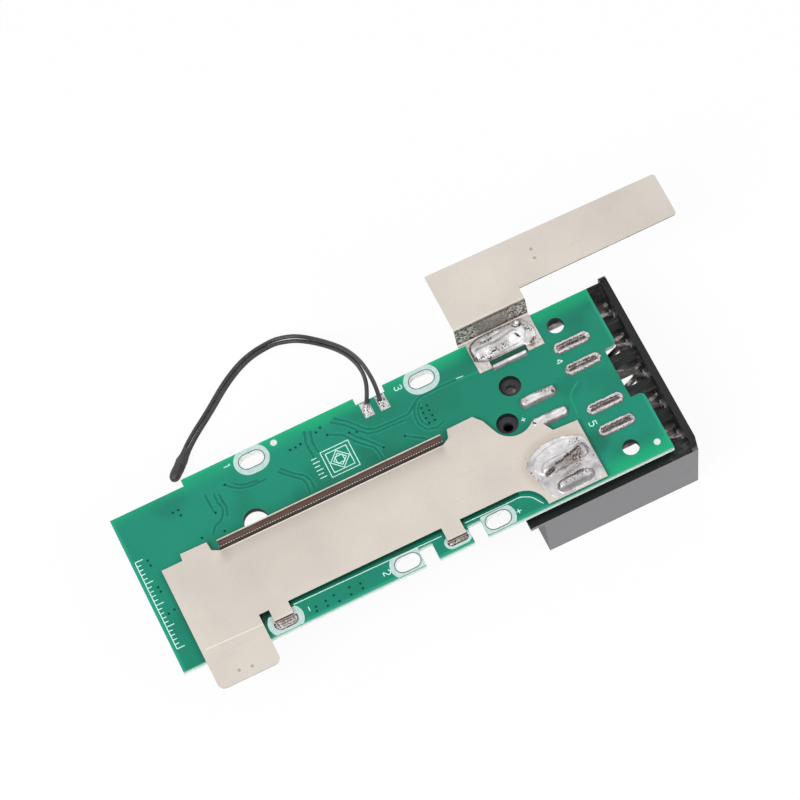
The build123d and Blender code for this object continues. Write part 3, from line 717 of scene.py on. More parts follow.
def contactMaterial():
    s = Shader("contact_metal", Metallic=0.55, Roughness=0.34)
    # Painted highlights: the noise lifts patches of the dark metal towards near white
    tone = s.ramp(s.noise(480, 4, 0.6), (0.36, (22, 18, 18)), (0.5, (84, 74, 72)), (0.62, (176, 166, 164)))
    leg = s.step(s.along("Z"), 14.6, 15.2)
    burnt = s.ramp(s.noise(1900, 4, 0.7), (0.35, (36, 30, 28)), (0.6, (104, 92, 90)), (0.75, (176, 158, 160)))
    s.use(s.mix(leg, tone, burnt))
    s.bump(s.noise(1500, 3), 0.3, 0.00006)
    return s.material


def coverMaterial():
    s = Shader("wire_cover", Roughness=0.42, Specular_IOR_Level=0.5)
    fine = s.noise(2400, 4, 0.6)
    s.use(s.blend(s.noise(500, 3), ((30, 30, 33), (52, 51, 55))))
    s.use(s.plus(s.times(fine, 0.3), 0.26), "Roughness")
    s.bump(fine, 0.5, 0.00007)
    return s.material


def resinMaterial():
    s = Shader("bead_resin", Roughness=0.4, Specular_IOR_Level=0.5)
    mottle = s.noise(700, 4, 0.6)
    s.use(s.blend(mottle, ((34, 32, 34), (60, 57, 59))))
    s.use(s.plus(s.times(mottle, 0.35), 0.24), "Roughness")
    s.bump(mottle, 0.6, 0.00012)
    return s.material


def inkMaterial(name, *shades, **settings):
    s = Shader(name, **settings)
    fine = s.noise(1400, 3)
    s.use(s.blend(fine, shades))
    s.bump(fine, 0.18, 0.00003)
    return s.material


gloss = {"Roughness": 0.32, "Specular_IOR_Level": 0.22}
looks = {
    "mask": maskMaterial(maskLook),
    "nickel": nickelMaterial(nickelLook),
    "solder": solderMaterial(solderLook),
    "pad": padMaterial(padLook),
    "silver": silverMaterial(),
    "plastic": plasticMaterial(plasticLook),
    "contact": contactMaterial(),
    "cover": coverMaterial(),
    "resin": resinMaterial(),
    "trace": inkMaterial("trace", (11, 106, 85), (15, 114, 93), **gloss),
    "traceEdge": inkMaterial("trace_edge", (19, 134, 110), (25, 143, 119), **gloss),
    "paleTrace": inkMaterial("pale_trace", (26, 138, 111), (34, 149, 120), **gloss),
    "silk": inkMaterial("silk", (190, 238, 226), (214, 250, 240), Roughness=0.6),
    "rim": inkMaterial("slot_rim_shade", (58, 72, 72), (92, 106, 104), Roughness=0.4),
    "viaHoleShade": inkMaterial("via_hole_shade", (0, 54, 42), (4, 70, 56), Roughness=0.6, Specular_IOR_Level=0.02),
    "bright": inkMaterial("bare_tin", (196, 208, 202), (224, 230, 226), Metallic=0.5, Roughness=0.35),
    "chip": inkMaterial("chip_body", (28, 28, 30), (40, 40, 42), Roughness=0.5),
    "leads": inkMaterial("component_leads", (160, 160, 163), (196, 196, 199), Metallic=0.8, Roughness=0.35),
    "shunt": inkMaterial("shunt_metal", (112, 108, 102), (142, 136, 128), Metallic=0.8, Roughness=0.4),
    "resistor": inkMaterial("resistor_body", (20, 20, 24), (34, 34, 38), Roughness=0.3),
    "capacitor": inkMaterial("capacitor_body", (146, 118, 88), (172, 142, 108), Roughness=0.5),
}
dressing = {
    "mask": ["circuit_board"],
    "pad": ["plated_slots"],
    "silver": ["thermistor_pads"],
    "plastic": ["terminal_block", "block_ribs"],
    "nickel": ["negative_strip", "positive_strap"],
    "solder": ["tab_solder"],
    "contact": [f"contact_{number}" for number in range(1, 6)],
    "chip": ["mosfet_bodies", "controller_chip", "transistors"],
    "leads": ["mosfet_terminals", "controller_pins", "transistor_legs"],
    "shunt": ["shunt_resistor"],
    "resistor": ["chip_resistors"],
    "capacitor": ["chip_capacitors"],
}


def dress(piece, material):
    if not piece.material_slots:
        piece.data.materials.append(material)
    for held in piece.material_slots:
        held.material = material


for look, dressed in dressing.items():
    for node in dressed:
        dress(nodes[node], looks[look])
for lead in leads.values():
    dress(lead, looks["cover"])
dress(bead, looks["resin"])
print("materials made")


# Solder: each heap is a film over its outline with mounds and dips on it. Its points hold how burnt and
# how shaded they are. A mound, dip, burn, shade or speck is a run of points, a width and a strength.
def smoothLoop(outline, spacing):
    points = []
    count = len(outline)
    for i in range(count):
        a, b, c, d = (Vector(outline[(i + k) % count]) for k in (-1, 0, 1, 2))
        steps = max(1, round((c - b).length / spacing))
        for k in range(steps):
            t = k / steps
            spot = 2 * b + (c - a) * t + (2 * a - 5 * b + 4 * c - d) * t * t
            spot += (3 * b - a - 3 * c + d) * t ** 3
            points.append(spot / 2)
    return points


def toRun(spot, run):
    best = 1e9
    for a, b in zip(run, run[1:]):
        a, b = Vector(a), Vector(b)
        side = b - a
        share = max(0.0, min(1.0, (spot - a).dot(side) / max(side.length_squared, 1e-9)))
        best = min(best, (spot - a - side * share).length)
    return best


def bar(middle, length, width, sides=7):
    # A rounded bar's outline about a point, along the board
    x, y = middle
    reach = length / 2 - width / 2
    ends = []
    for sign in (1, -1):
        for k in range(sides):
            angle = sign * math.pi / 2 - math.pi * k / (sides - 1)
            ends.append((x + sign * reach + width / 2 * math.cos(angle), y + width / 2 * math.sin(angle)))
    return ends


def inside(spot, loop):
    odd = False
    for a, b in zip(loop, loop[1:] + loop[:1]):
        if (a.y > spot.y) != (b.y > spot.y) and spot.x < (b.x - a.x) * (spot.y - a.y) / (b.y - a.y) + a.x:
            odd = not odd
    return odd


def heapLoop(look):
    loop = smoothLoop(look["outline"], look["grain"])
    for i, spot in enumerate(loop):
        sway = Vector([noise.noise(Vector((spot.x * 1.7, spot.y * 1.7, layer))) for layer in (3, 9)])
        loop[i] = spot + sway * look.get("wobble", 0.0)
        loop[i].x = min(loop[i].x, look.get("right", loop[i].x))
    return loop


def heapSpots(loop, grain):
    # The loop's points, then a grid of triangles inside it, and how far each lies from the loop
    closed = loop + loop[:1]
    spots, reaches = list(loop), [0.0] * len(loop)
    lowX, highX = min(p.x for p in loop), max(p.x for p in loop)
    y, highY = min(p.y for p in loop), max(p.y for p in loop)
    odd = False
    while y < highY:
        x = lowX + (grain / 2 if odd else 0)
        while x < highX:
            spot = Vector((x, y))
            reach = toRun(spot, closed) if inside(spot, loop) else 0.0
            if reach > grain * 0.6:
                spots.append(spot)
                reaches.append(reach)
            x += grain
        y += grain * 0.866
        odd = not odd
    return spots, reaches


def fades(spot, marks):
    aways = [(toRun(spot, run) / width, strength) for run, width, strength in marks]
    return [strength * math.exp(-away * away) for away, strength in aways]


def heapRow(spot, reach, look):
    # One point of the heap's top: its place, how burnt it is and how shaded it is
    rise = min(1.0, reach / look["rise"])
    rise = rise * rise * (3 - 2 * rise) if look.get("feather") else math.sqrt(max(0.0, rise * (2 - rise)))
    height = 0.0
    for run, width, tall in look["mounds"]:
        away = toRun(spot, run) / width
        if away < 1:
            height = max(height, tall * math.sqrt(1 - away * away))
    rough = noise.fractal(Vector((spot.x * 0.7, spot.y * 0.7, look["seed"])), 1.0, 2.0, 3)
    height += look["film"] + look["uneven"] * rough
    for fade in fades(spot, look.get("dips", [])):
        height -= fade
    over = look["edge"] + rise * max(height, look.get("least", 0.0))
    grime = max([look.get("dull", 0.0)] + fades(spot, look.get("burns", [])))
    spotted = noise.noise(Vector((spot.x * 3.3, spot.y * 3.3, look["seed"]))) > look.get("sparse", 0.2)
    for run, width, strength in look.get("specks", []):
        away = toRun(spot, run) / width
        if away < 1.5 and spotted:
            grime = max(grime, strength * math.exp(-away * away / 2))
    if reach < look.get("brown", 0.12):
        grime = max(grime, look.get("outlineBurn", 0.35))
    shade = max([look.get("shade", 0.0)] + fades(spot, look.get("shades", [])))
    return spot.x, spot.y, look["base"] + over, grime, shade


def heapMesh(look):
    loop = heapLoop(look)
    spots, reaches = heapSpots(loop, look["grain"])
    edges = [(i, (i + 1) % len(loop)) for i in range(len(loop))]
    flat, _, faces, origins, _, _ = geometry.delaunay_2d_cdt(spots, edges, [], 1, 1e-6)
    reached = [reaches[origin[0]] if origin else 0.0 for origin in origins]
    rows = [heapRow(spot, reach, look) for spot, reach in zip(flat, reached)]
    rims = {}
    for face in faces:
        for a, b in zip(face, face[1:] + face[:1]):
            if (b, a) in rims:
                del rims[(b, a)]
            else:
                rims[(a, b)] = True
    # The top's rim goes down to the foot, where the same faces close it
    lower = {}
    for rim in rims:
        for corner in rim:
            if corner not in lower:
                lower[corner] = len(rows)
                x, y, _, grime, shade = rows[corner]
                rows.append((x, y, look["foot"], grime, shade))
    solid = [tuple(face) for face in faces]
    solid += [(b, a, lower[a], lower[b]) for a, b in rims]
    solid += [tuple(lower[i] for i in reversed(face)) for face in faces if all(i in lower for i in face)]
    return rows, solid


def makeSolder(name, heaps, instead=None):
    rows, faces = [], []
    for look in heaps:
        more, solid = heapMesh(look)
        faces += [tuple(i + len(rows) for i in face) for face in solid]
        rows += more
    data = bpy.data.meshes.new(name)
    data.from_pydata([(x * millimetre, y * millimetre, z * millimetre) for x, y, z, _, _ in rows], [], faces)
    for label, column in (("grime", 3), ("shade", 4)):
        held = data.attributes.new(label, "FLOAT", "POINT")
        held.data.foreach_set("value", [row[column] for row in rows])
    for face in data.polygons:
        face.use_smooth = True
    data.materials.append(looks["solder"])
    data.update()
    return addPiece(name, data, instead)


footHeap = {
    "grain": 0.2, "base": strapFoot, "foot": 16.78, "edge": 0.02, "rise": 1.0, "film": 0.14, "uneven": 0.06,
    "seed": 4.0, "wobble": 0.12, "least": 0.06, "sparse": 0.06,
    "outline": [
        (-14.1, 16.0), (-14.1, 18.2), (-13.6, 19.4), (-12.2, 20.3), (-9.8, 20.6), (-6.4, 20.6),
        (-4.2, 20.45), (-2.8, 20.6), (-1.6, 20.3), (-0.9, 18.9), (-0.1, 17.3), (-0.4, 15.2), (-1.4, 14.3),
        (-3.0, 14.1), (-3.6, 14.75), (-5.5, 14.8), (-8.2, 14.75), (-10.6, 14.7), (-11.7, 14.6),
        (-12.7, 15.0), (-13.5, 15.4),
    ],
    "mounds": [
        ([(-12.2, 17.5), (-8.0, 17.9), (-4.6, 18.1)], 2.9, 0.85),
        ([(-12.4, 17.0), (-8.2, 16.9), (-4.4, 17.6)], 1.3, 1.12),
        ([(-2.9, 19.5), (-2.85, 19.4)], 0.85, 1.35),
    ],
    "dips": [
        ([(-10.8, 18.9), (-7.2, 19.3)], 0.35, 0.18),
        ([(-9.6, 16.2), (-6.2, 16.4)], 0.3, 0.22),
        ([(-3.9, 17.1), (-3.5, 16.6)], 0.3, 0.3),
    ],
    "burns": [
        ([(-13.8, 16.0), (-13.9, 18.2), (-13.2, 19.4), (-11.4, 20.2), (-9.4, 20.3)], 0.2, 0.9),
        ([(-3.9, 19.3), (-3.5, 18.7), (-2.6, 18.6), (-2.1, 19.0)], 0.22, 1.0),
        ([(-4.1, 17.2), (-3.6, 16.6)], 0.28, 1.0),
        ([(-2.0, 14.5), (-1.0, 15.0)], 0.36, 0.75),
    ],
    "specks": [
        ([(-13.9, 16.0), (-12.0, 15.5), (-10.6, 15.2)], 0.35, 1.1),
        ([(-10.9, 15.2), (-9.6, 15.9), (-6.6, 16.1)], 0.5, 1.1),
        ([(-11.2, 18.7), (-9.4, 18.7)], 0.5, 0.9),
        ([(-1.8, 18.2), (-0.9, 17.3)], 0.5, 1.0),
        ([(-9.0, 20.0), (-4.4, 20.2)], 0.45, 0.8),
    ],
}
# A bar of solder along the lower leg; its dark line along the back side is painted shade, drawn as a burn
legBar = {
    "grain": 0.16, "base": boardTop, "foot": 16.4, "edge": 0.02, "rise": 0.45, "film": 0.1, "uneven": 0.05,
    "seed": 11.0, "outline": bar((-7.55, 12.85), 8.0, 1.3), "dull": 0.2,
    "mounds": [([(-11.1, 12.88), (-4.1, 12.88)], 0.85, 0.8), ([(-4.2, 12.85), (-3.9, 12.85)], 0.7, 0.92)],
    "burns": [([(-10.6, 13.35), (-4.6, 13.35)], 0.25, 0.8)],
}
puddle = {
    "grain": 0.2, "base": stripTop, "foot": 17.43, "edge": 0.01, "rise": 1.6, "film": 0.16, "uneven": 0.09,
    "feather": True, "shade": 0.3, "seed": 7.0, "wobble": 0.35, "right": -1.55, "least": 0.03,
    "outlineBurn": 0.14, "brown": 0.35,
    "outline": [
        (-15.0, -12.4), (-14.9, -10.9), (-13.8, -9.4), (-12.2, -8.4), (-10.4, -7.8), (-8.4, -7.6),
        (-6.6, -7.8), (-4.2, -8.5), (-2.2, -9.6), (-1.5, -11.6), (-1.5, -13.2), (-1.5, -15.0),
        (-1.6, -17.0), (-1.6, -18.8), (-3.0, -19.9), (-5.4, -20.05), (-8.0, -20.05), (-10.4, -20.0),
        (-12.4, -19.8), (-13.6, -18.6), (-14.1, -16.6), (-14.4, -14.6),
    ],
    "mounds": [
        ([(-11.2, -13.3), (-9.6, -13.1), (-6.2, -12.9), (-3.9, -12.7)], 1.7, 0.82),
        ([(-11.4, -12.0), (-6.0, -10.6)], 2.6, 0.34),
        ([(-10.1, -18.3), (-7.4, -18.35), (-4.9, -18.2)], 1.45, 1.15),
    ],
    "dips": [
        ([(-12.0, -14.4), (-10.6, -14.2)], 0.45, 0.4),
        ([(-9.2, -13.1), (-6.2, -12.5), (-4.7, -12.1)], 0.3, 0.26),
        ([(-9.6, -16.7), (-6.5, -16.5)], 0.4, 0.2),
    ],
    "shades": [
        ([(-10.4, -13.6), (-7.4, -13.3), (-4.6, -13.1)], 1.5, 0.75),
        ([(-9.6, -18.6), (-7.4, -18.8), (-6.0, -18.7)], 1.1, 0.6),
        ([(-9.6, -16.2), (-5.2, -15.6)], 0.8, 0.55),
        ([(-13.4, -11.4), (-11.0, -9.6)], 1.6, 0.2),
    ],
    "burns": [
        ([(-12.0, -14.4), (-11.1, -14.2), (-10.3, -14.0)], 0.5, 1.0),
        ([(-9.4, -13.3), (-7.9, -13.0), (-6.4, -12.6), (-5.2, -12.2), (-4.0, -11.9)], 0.38, 1.0),
        (
            [(-11.3, -18.3), (-10.9, -17.4), (-9.4, -16.8), (-7.6, -16.75), (-6.2, -16.5), (-5.2, -16.7)],
            0.24, 0.95,
        ),
        ([(-8.4, -14.6), (-5.8, -13.7), (-4.2, -13.4)], 0.95, 0.42),
        ([(-8.8, -16.0), (-5.4, -15.2)], 0.7, 0.4),
        ([(-15.0, -12.0), (-14.3, -10.0), (-12.6, -8.6), (-10.4, -7.9)], 0.25, 0.22),
    ],
    "specks": [
        ([(-15.0, -12.7), (-14.8, -13.1)], 0.4, 1.4),
        ([(-13.7, -14.6), (-13.4, -14.5)], 0.35, 1.3),
        ([(-6.4, -13.3), (-5.2, -13.9), (-4.4, -13.4)], 0.9, 1.3),
        ([(-4.9, -10.4), (-3.6, -10.1)], 0.5, 1.2),
        ([(-2.9, -11.6), (-2.6, -12.8)], 0.5, 1.1),
        ([(-9.6, -18.0), (-5.4, -17.6)], 0.8, 0.8),
        ([(-1.8, -14.6), (-1.8, -16.4)], 0.4, 0.6),
    ],
}


def rimHeap(middle, seed):
    # A low ring of solder about a leg, its slot ragged and dark
    x, y = middle
    return {
        "grain": 0.15, "base": boardTop, "foot": 16.42, "edge": 0.03, "rise": 0.4, "film": 0.3, "uneven": 0.1,
        "seed": seed, "wobble": 0.2, "dull": 0.14, "shade": 0.26, "outline": bar(middle, 8.15, 2.6),
        "mounds": [
            ([(x - 3.3, y - 0.85), (x + 3.2, y - 0.85)], 0.45, 0.2),
            ([(x - 3.1, y + 0.85), (x + 3.3, y + 0.85)], 0.45, 0.24),
        ],
        "dips": [
            ([(x - 2.9, y - 0.05), (x - 1, y + 0.08), (x + 1.2, y - 0.06), (x + 2.9, y + 0.05)], 0.42, 0.34),
        ],
        "sparse": 0.15,
        "burns": [
            ([(x - 2.9, y), (x - 0.6, y + 0.12), (x + 2.9, y)], 0.5, 0.31),
            ([(x - 3.1, y + 0.5), (x - 0.4, y + 0.56), (x + 2.7, y + 0.42)], 0.15, 0.85),
        ],
        "specks": [
            ([(x - 3.2, y + 0.1), (x + 3.0, y - 0.1)], 0.65, 0.8),
            ([(x - 3.4, y - 0.9), (x + 3.2, y - 0.9)], 0.4, 0.5),
        ],
    }


def tallHeap(middle, seed, burns, specks):
    # A full heap over both faces of a leg
    x, y = middle
    return {
        "grain": 0.16, "base": boardTop, "foot": 16.42, "edge": 0.03, "rise": 0.5, "film": 0.16,
        "uneven": 0.07, "seed": seed, "shade": 0.14, "wobble": 0.16, "outline": bar(middle, 8.2, 2.6),
        "mounds": [([(x - 3.2, y), (x - 0.6, y + 0.1), (x + 3.2, y - 0.05)], 1.25, 0.9)],
        "dips": [([(x - 0.4, y + 0.8), (x + 1.6, y + 0.7)], 0.3, 0.12)],
        "burns": burns, "specks": specks,
    }


legHeaps = [rimHeap((5.25, y), seed) for y, seed in ((10.5, 21.0), (5.1, 23.0), (-5.1, 25.0), (-10.5, 27.0))]
legHeaps += [
    tallHeap(
        (-6.05, 2.7), 31.0,
        [([(-3.1, 2.2), (-2.9, 2.0)], 0.28, 1.0), ([(-8.2, 1.75), (-4.6, 1.7)], 0.3, 0.4)],
        [([(-5.2, 3.1), (-3.0, 3.0)], 0.5, 0.9), ([(-9.4, 3.1), (-8.6, 2.2)], 0.4, 0.7)],
    ),
    tallHeap(
        (-6.05, -2.7), 33.0,
        [([(-8.8, -3.4), (-5.0, -3.7)], 0.3, 0.35), ([(-9.9, -2.2), (-9.3, -2.9)], 0.25, 0.9)],
        [([(-9.6, -1.9), (-8.6, -1.8)], 0.5, 1.0)],
    ),
]


def jointHeap(middle, tip, seed):
    # A thin heap over a small pad, highest where the wire lies in it
    x, y = middle
    right = [(x + 0.9, y - 1.55), (x + 0.95, y), (x + 0.9, y + 1.5)]
    left = [(x - 0.9, y + 1.5), (x - 0.95, y), (x - 0.9, y - 1.55)]
    return {
        "grain": 0.13, "base": 16.57, "foot": 16.5, "edge": 0.01, "rise": 0.35, "film": 0.07, "uneven": 0.05,
        "seed": seed, "wobble": 0.06, "shade": 0.12,
        "outline": [left[-1], (x, y - 1.62), *right, (x, y + 1.6), *left[:-1]],
        "mounds": [([(x, y + 0.4), tip], 0.7, 0.4)],
        "specks": [
            ([(x - 0.5, y - 1.0), (x + 0.5, y - 0.8)], 0.8, 1.0),
            ([(x - 0.5, y + 0.2), (x + 0.6, y + 0.6)], 0.6, 0.9),
        ],
    }


def slotHeap(middle, length, width, seed, rows):
    # Solder drawn in beside a folded tab, in dark rows along the slot
    x, y = middle
    reach = length / 2 - 0.7
    return {
        "grain": 0.13, "base": 15.5, "foot": 15.2, "edge": 0.3, "rise": 0.5, "film": 0.2, "uneven": 0.05,
        "seed": seed, "shade": 0.2, "dull": 0.35, "outline": bar(middle, length, width),
        "mounds": [([(x - reach, y), (x + reach, y)], width * 0.4, 0.35)],
        "burns": [([(x - reach, y + row), (x + reach, y + row)], 0.13, 0.8) for row in rows],
        "specks": [([(x - reach, y - 0.3), (x + reach, y - 0.3)], 0.7, 0.7)],
    }


jointHeaps = [
    jointHeap((-38.05, 16.65), (-37.55, 17.7), 41.0),
    jointHeap((-34.55, 16.65), (-34.85, 17.1), 43.0),
]
slotHeaps = [
    slotHeap((-71.95, -18.15), 5.1, 3.0, 51.0, (0.35, -0.2, -0.75, -1.2)),
    slotHeap((-33.95, -18.25), 4.5, 1.7, 53.0, (0.2, -0.55)),
]
makeSolder("solder_slots", slotHeaps)
makeSolder("solder_positive", [footHeap, legBar], "positive_solder")
makeSolder("solder_negative", [puddle], "negative_solder")
makeSolder("solder_legs", legHeaps, "leg_solder")
makeSolder("solder_joints", jointHeaps, "thermistor_solder")
print("solder made")


# Geometry node groups: flat ribbons along lines, and round spots at points
def newGroup(name, sizes, paints):
    group = bpy.data.node_groups.new(name, "GeometryNodeTree")
    sockets = [("Geometry", "NodeSocketGeometry")]
    sockets += [(label, "NodeSocketFloat") for label in sizes]
    sockets += [(label, "NodeSocketMaterial") for label in paints]
    for label, kind in sockets:
        group.interface.new_socket(label, in_out="INPUT", socket_type=kind)
    group.interface.new_socket("Geometry", in_out="OUTPUT", socket_type="NodeSocketGeometry")
    return group, group.nodes.new("NodeGroupInput"), group.nodes.new("NodeGroupOutput")


def joinUp(group, *links):
    for source, output, target, entry in links:
        group.links.new(source.outputs[output], target.inputs[entry])


def ribbonGroup():
    group, start, end = newGroup("ribbons", ("Width", "Height", "Corner"), ("Paint",))
    add = group.nodes.new
    curve = add("GeometryNodeMeshToCurve")
    rounded = add("GeometryNodeFilletCurve")
    rounded.mode = "POLY"
    rounded.inputs["Count"].default_value = 3
    rounded.inputs["Limit Radius"].default_value = True
    level = add("GeometryNodeSetCurveNormal")
    level.mode = "Z_UP"
    section = add("GeometryNodeCurvePrimitiveQuadrilateral")
    section.mode = "RECTANGLE"
    sweep = add("GeometryNodeCurveToMesh")
    sweep.inputs["Fill Caps"].default_value = True
    flat = add("GeometryNodeSetShadeSmooth")
    flat.inputs["Shade Smooth"].default_value = False
    paint = add("GeometryNodeSetMaterial")
    joinUp(
        group,
        (start, "Geometry", curve, "Mesh"),
        (curve, "Curve", rounded, "Curve"),
        (start, "Corner", rounded, "Radius"),
        (rounded, "Curve", level, "Curve"),
        (start, "Width", section, "Width"),
        (start, "Height", section, "Height"),
        (level, "Curve", sweep, "Curve"),
        (section, "Curve", sweep, "Profile Curve"),
        (sweep, "Mesh", flat, "Geometry"),
        (flat, "Geometry", paint, "Geometry"),
        (start, "Paint", paint, "Material"),
        (paint, "Geometry", end, "Geometry"),
    )
    return group


def spotGroup():
    group, start, end = newGroup("spots", ("Outer", "Inner", "Height"), ("Outer Paint", "Inner Paint"))
    add = group.nodes.new
    join = add("GeometryNodeJoinGeometry")
    taller = add("ShaderNodeMath")
    taller.operation = "MULTIPLY"
    taller.inputs[1].default_value = 1.6  # the inner disc stands out of the outer one
    joinUp(group, (start, "Height", taller, 0))
    for size, source, output in (("Outer", start, "Height"), ("Inner", taller, 0)):
        disc = add("GeometryNodeMeshCylinder")
        disc.inputs["Vertices"].default_value = 20
        colour = add("GeometryNodeSetMaterial")
        joinUp(
            group,
            (start, size, disc, "Radius"),
            (source, output, disc, "Depth"),
            (disc, "Mesh", colour, "Geometry"),
            (start, size + " Paint", colour, "Material"),
            (colour, "Geometry", join, "Geometry"),
        )
    points = add("GeometryNodeMeshToPoints")
    spread = add("GeometryNodeInstanceOnPoints")
    real = add("GeometryNodeRealizeInstances")
    joinUp(
        group,
        (start, "Geometry", points, "Mesh"),
        (points, "Points", spread, "Points"),
        (join, "Geometry", spread, "Instance"),
        (spread, "Instances", real, "Geometry"),
        (real, "Geometry", end, "Geometry"),
    )
    return group


groups = {"ribbons": ribbonGroup(), "spots": spotGroup()}


def grow(name, data, group, sizes, paints):
    # Runs a node group over a mesh, with sizes in millimetres, and keeps the result as a plain mesh piece
    values = {label: size * millimetre for label, size in sizes.items()}
    values.update({label: looks[paint] for label, paint in paints.items()})
    seed = bpy.data.objects.new(name + "_lines", data)
    scene.collection.objects.link(seed)
    modifier = seed.modifiers.new("grow", "NODES")
    modifier.node_group = groups[group]
    for item in modifier.node_group.interface.items_tree:
        if item.in_out == "INPUT" and item.name in values:
            modifier[item.identifier] = values[item.name]
    bpy.context.view_layer.update()
    ready = seed.evaluated_get(bpy.context.evaluated_depsgraph_get())
    result = bpy.data.meshes.new_from_object(ready)
    result.name = name
    bpy.data.objects.remove(seed)
    return addPiece(name, result)


ribbonLevel = boardTop + 0.006
silkLevel = boardTop + 0.022
hair = 0.001  # each line lies a hair above the last, so that none share a face where they cross


def lineMesh(name, lines, level, loops=False):
    points, edges = [], []
    for number, line in enumerate(lines):
        start = len(points)
        height = (level + hair * (number % 8)) * millimetre
        points += [(p[0] * millimetre, p[1] * millimetre, height) for p in line]
        edges += [(start + k, start + k + 1) for k in range(len(line) - 1)]
        if loops:
            edges.append((len(points) - 1, start))
    data = bpy.data.meshes.new(name)
    data.from_pydata(points, edges, [])
    return data


def growRibbons(name, lines, width, height, corner, paint, level=ribbonLevel, loops=False, slot=None):
    sizes = {"Width": width, "Height": height, "Corner": corner}
    grow(name, lineMesh(name, lines, level, loops), "ribbons", sizes, {"Paint": paint})


def growSpots(name, look):
    sizes = {"Outer": look["outer"], "Inner": look["inner"], "Height": look["height"]}
    paints = {"Outer Paint": look["paints"][0], "Inner Paint": look["paints"][1]}
    grow(name, lineMesh(name, [[p] for p in look["places"]], boardTop), "spots", sizes, paints)


traceLook = {
    "width": 0.5,
    "border": 1.1,
    "height": 0.024,
    "corner": 0.8,
    "wide": 2.2,
    "dark": [
        [(-75.2, 14.8), (-75.2, 12.5), (-75.1, 10.7), (-74.9, 10.2)],
        [(-73.5, 14.2), (-73.6, 12.4), (-73.2, 10.5), (-73.8, 9.0), (-74.8, 8.0), (-76.2, 7.5), (-77.2, 6.1)],
        [(-72.6, 13.7), (-72.6, 12.1), (-72.4, 10.3), (-73.0, 8.4)],
        [(-70.7, 15.0), (-69.6, 13.8), (-68.3, 12.8), (-66.7, 12.3), (-64.9, 12.2), (-62.7, 12.2)],
        [(-69.1, 14.5), (-67.8, 13.4), (-66.4, 13.0), (-64.3, 12.8)],
        [(-59.9, 12.5), (-58.1, 10.5), (-56.1, 8.5), (-55.8, 7.2), (-56.1, 5.1)],
        [(-59.2, 13.0), (-57.5, 10.9), (-55.2, 9.0), (-54.8, 7.5), (-54.8, 5.5)],
        [(-51.4, 18.3), (-52.2, 15.7), (-52.2, 13.7), (-52.0, 11.3)],
        [(-50.3, 17.8), (-50.9, 15.5), (-50.9, 13.5), (-50.5, 11.5)],
        [
            (-45.0, 18.1), (-42.7, 16.2), (-41.2, 14.2), (-40.1, 12.8), (-38.6, 12.0), (-36.4, 11.8),
            (-33.3, 11.7), (-30.9, 11.7), (-28.9, 13.4), (-27.3, 14.1), (-24.5, 14.2), (-21.4, 14.2),
            (-18.7, 14.2),
        ],
        [
            (-45.9, 17.6), (-43.5, 15.6), (-41.8, 13.4), (-40.1, 11.6), (-38.1, 11.1), (-35.0, 11.0),
            (-32.2, 10.8),
        ],
        [
            (-47.6, 15.3), (-44.9, 13.9), (-43.6, 11.9), (-42.2, 10.1), (-40.3, 8.3), (-39.9, 6.8),
            (-39.8, 5.0),
        ],
        [(-43.4, 13.6), (-42.6, 12.2), (-40.8, 10.2), (-38.6, 7.3)],
        [(-28.0, 14.0), (-29.4, 12.4), (-30.1, 10.5), (-30.1, 8.5), (-29.1, 6.8), (-27.1, 6.2), (-25.3, 6.9)],
        [(-33.7, 7.6), (-32.2, 6.5), (-30.5, 5.3), (-29.1, 3.9)],
        [(-27.8, 13.1), (-28.8, 11.8), (-29.3, 10.3), (-29.2, 8.7), (-28.4, 7.4)],
    ],
    "pale": [
        [(2.6, 2.1), (0.7, 0.8), (-0.5, -0.6), (-0.5, -2.6), (-0.7, -4.8)],
        [(-18.9, 13.7), (-16.2, 13.8), (-13.1, 13.5)],
    ],
}
# Painted shade: each via's hole is a dark raised disc standing in for the hole
viaLook = {
    "places": [
        (-82.6, 14.3), (-81.4, 14.3), (-81.4, 13.0), (-74.9, 10.2), (-70.7, 15.0), (-74.9, 5.6),
        (-79.6, 6.4), (-91.4, 7.0), (-91.3, 5.7), (-91.9, 0.6), (-91.8, -0.5), (-90.9, -5.4),
        (-92.3, -5.7), (-55.7, 15.8), (-54.5, 15.8), (-53.3, 16.0), (-49.4, 16.9), (-48.2, 17.5),
        (-47.6, 15.3), (-43.4, 13.6), (-42.0, 13.1), (-33.7, 7.6), (-38.6, 7.3), (-28.1, 11.7),
        (-26.8, 11.7), (-28.2, 10.5), (-26.9, 10.5), (-26.8, 9.2), (-28.2, 9.2), (-26.8, 8.0),
        (-28.1, 7.9), (-63.15, -18.0), (-63.2, -19.1), (-65.4, -18.2), (-65.6, -19.2), (-60.7, -19.3),
        (-58.0, -19.1), (-55.4, -17.8), (-55.4, -19.0), (-61.2, -17.6), (-57.7, -17.5),
    ],
    "outer": 0.34,
    "inner": 0.2,
    "height": 0.04,
    "paints": ("trace", "viaHoleShade"),
}
fiducialLook = {
    "places": [(-58.01, 18.89), (10.74, -17.69)],
    "outer": 0.72,
    "inner": 0.62,
    "height": 0.04,
    "paints": ("pad", "bright"),
}


def growTraces(look):
    dark, pale, height, corner = look["dark"], look["pale"], look["height"], look["corner"]
    mask = "solder_mask"
    growRibbons("trace_edges", dark, look["border"], 0.4 * height, corner, "traceEdge", slot=mask)
    growRibbons("traces", dark, look["width"], height, corner, "trace", slot=mask)
    growRibbons("pale_traces", pale, 0.8 * look["width"], height, look["wide"], "paleTrace", slot=mask)


growTraces(traceLook)
growSpots("vias", viaLook)
growSpots("fiducials", fiducialLook)
print("traces made")

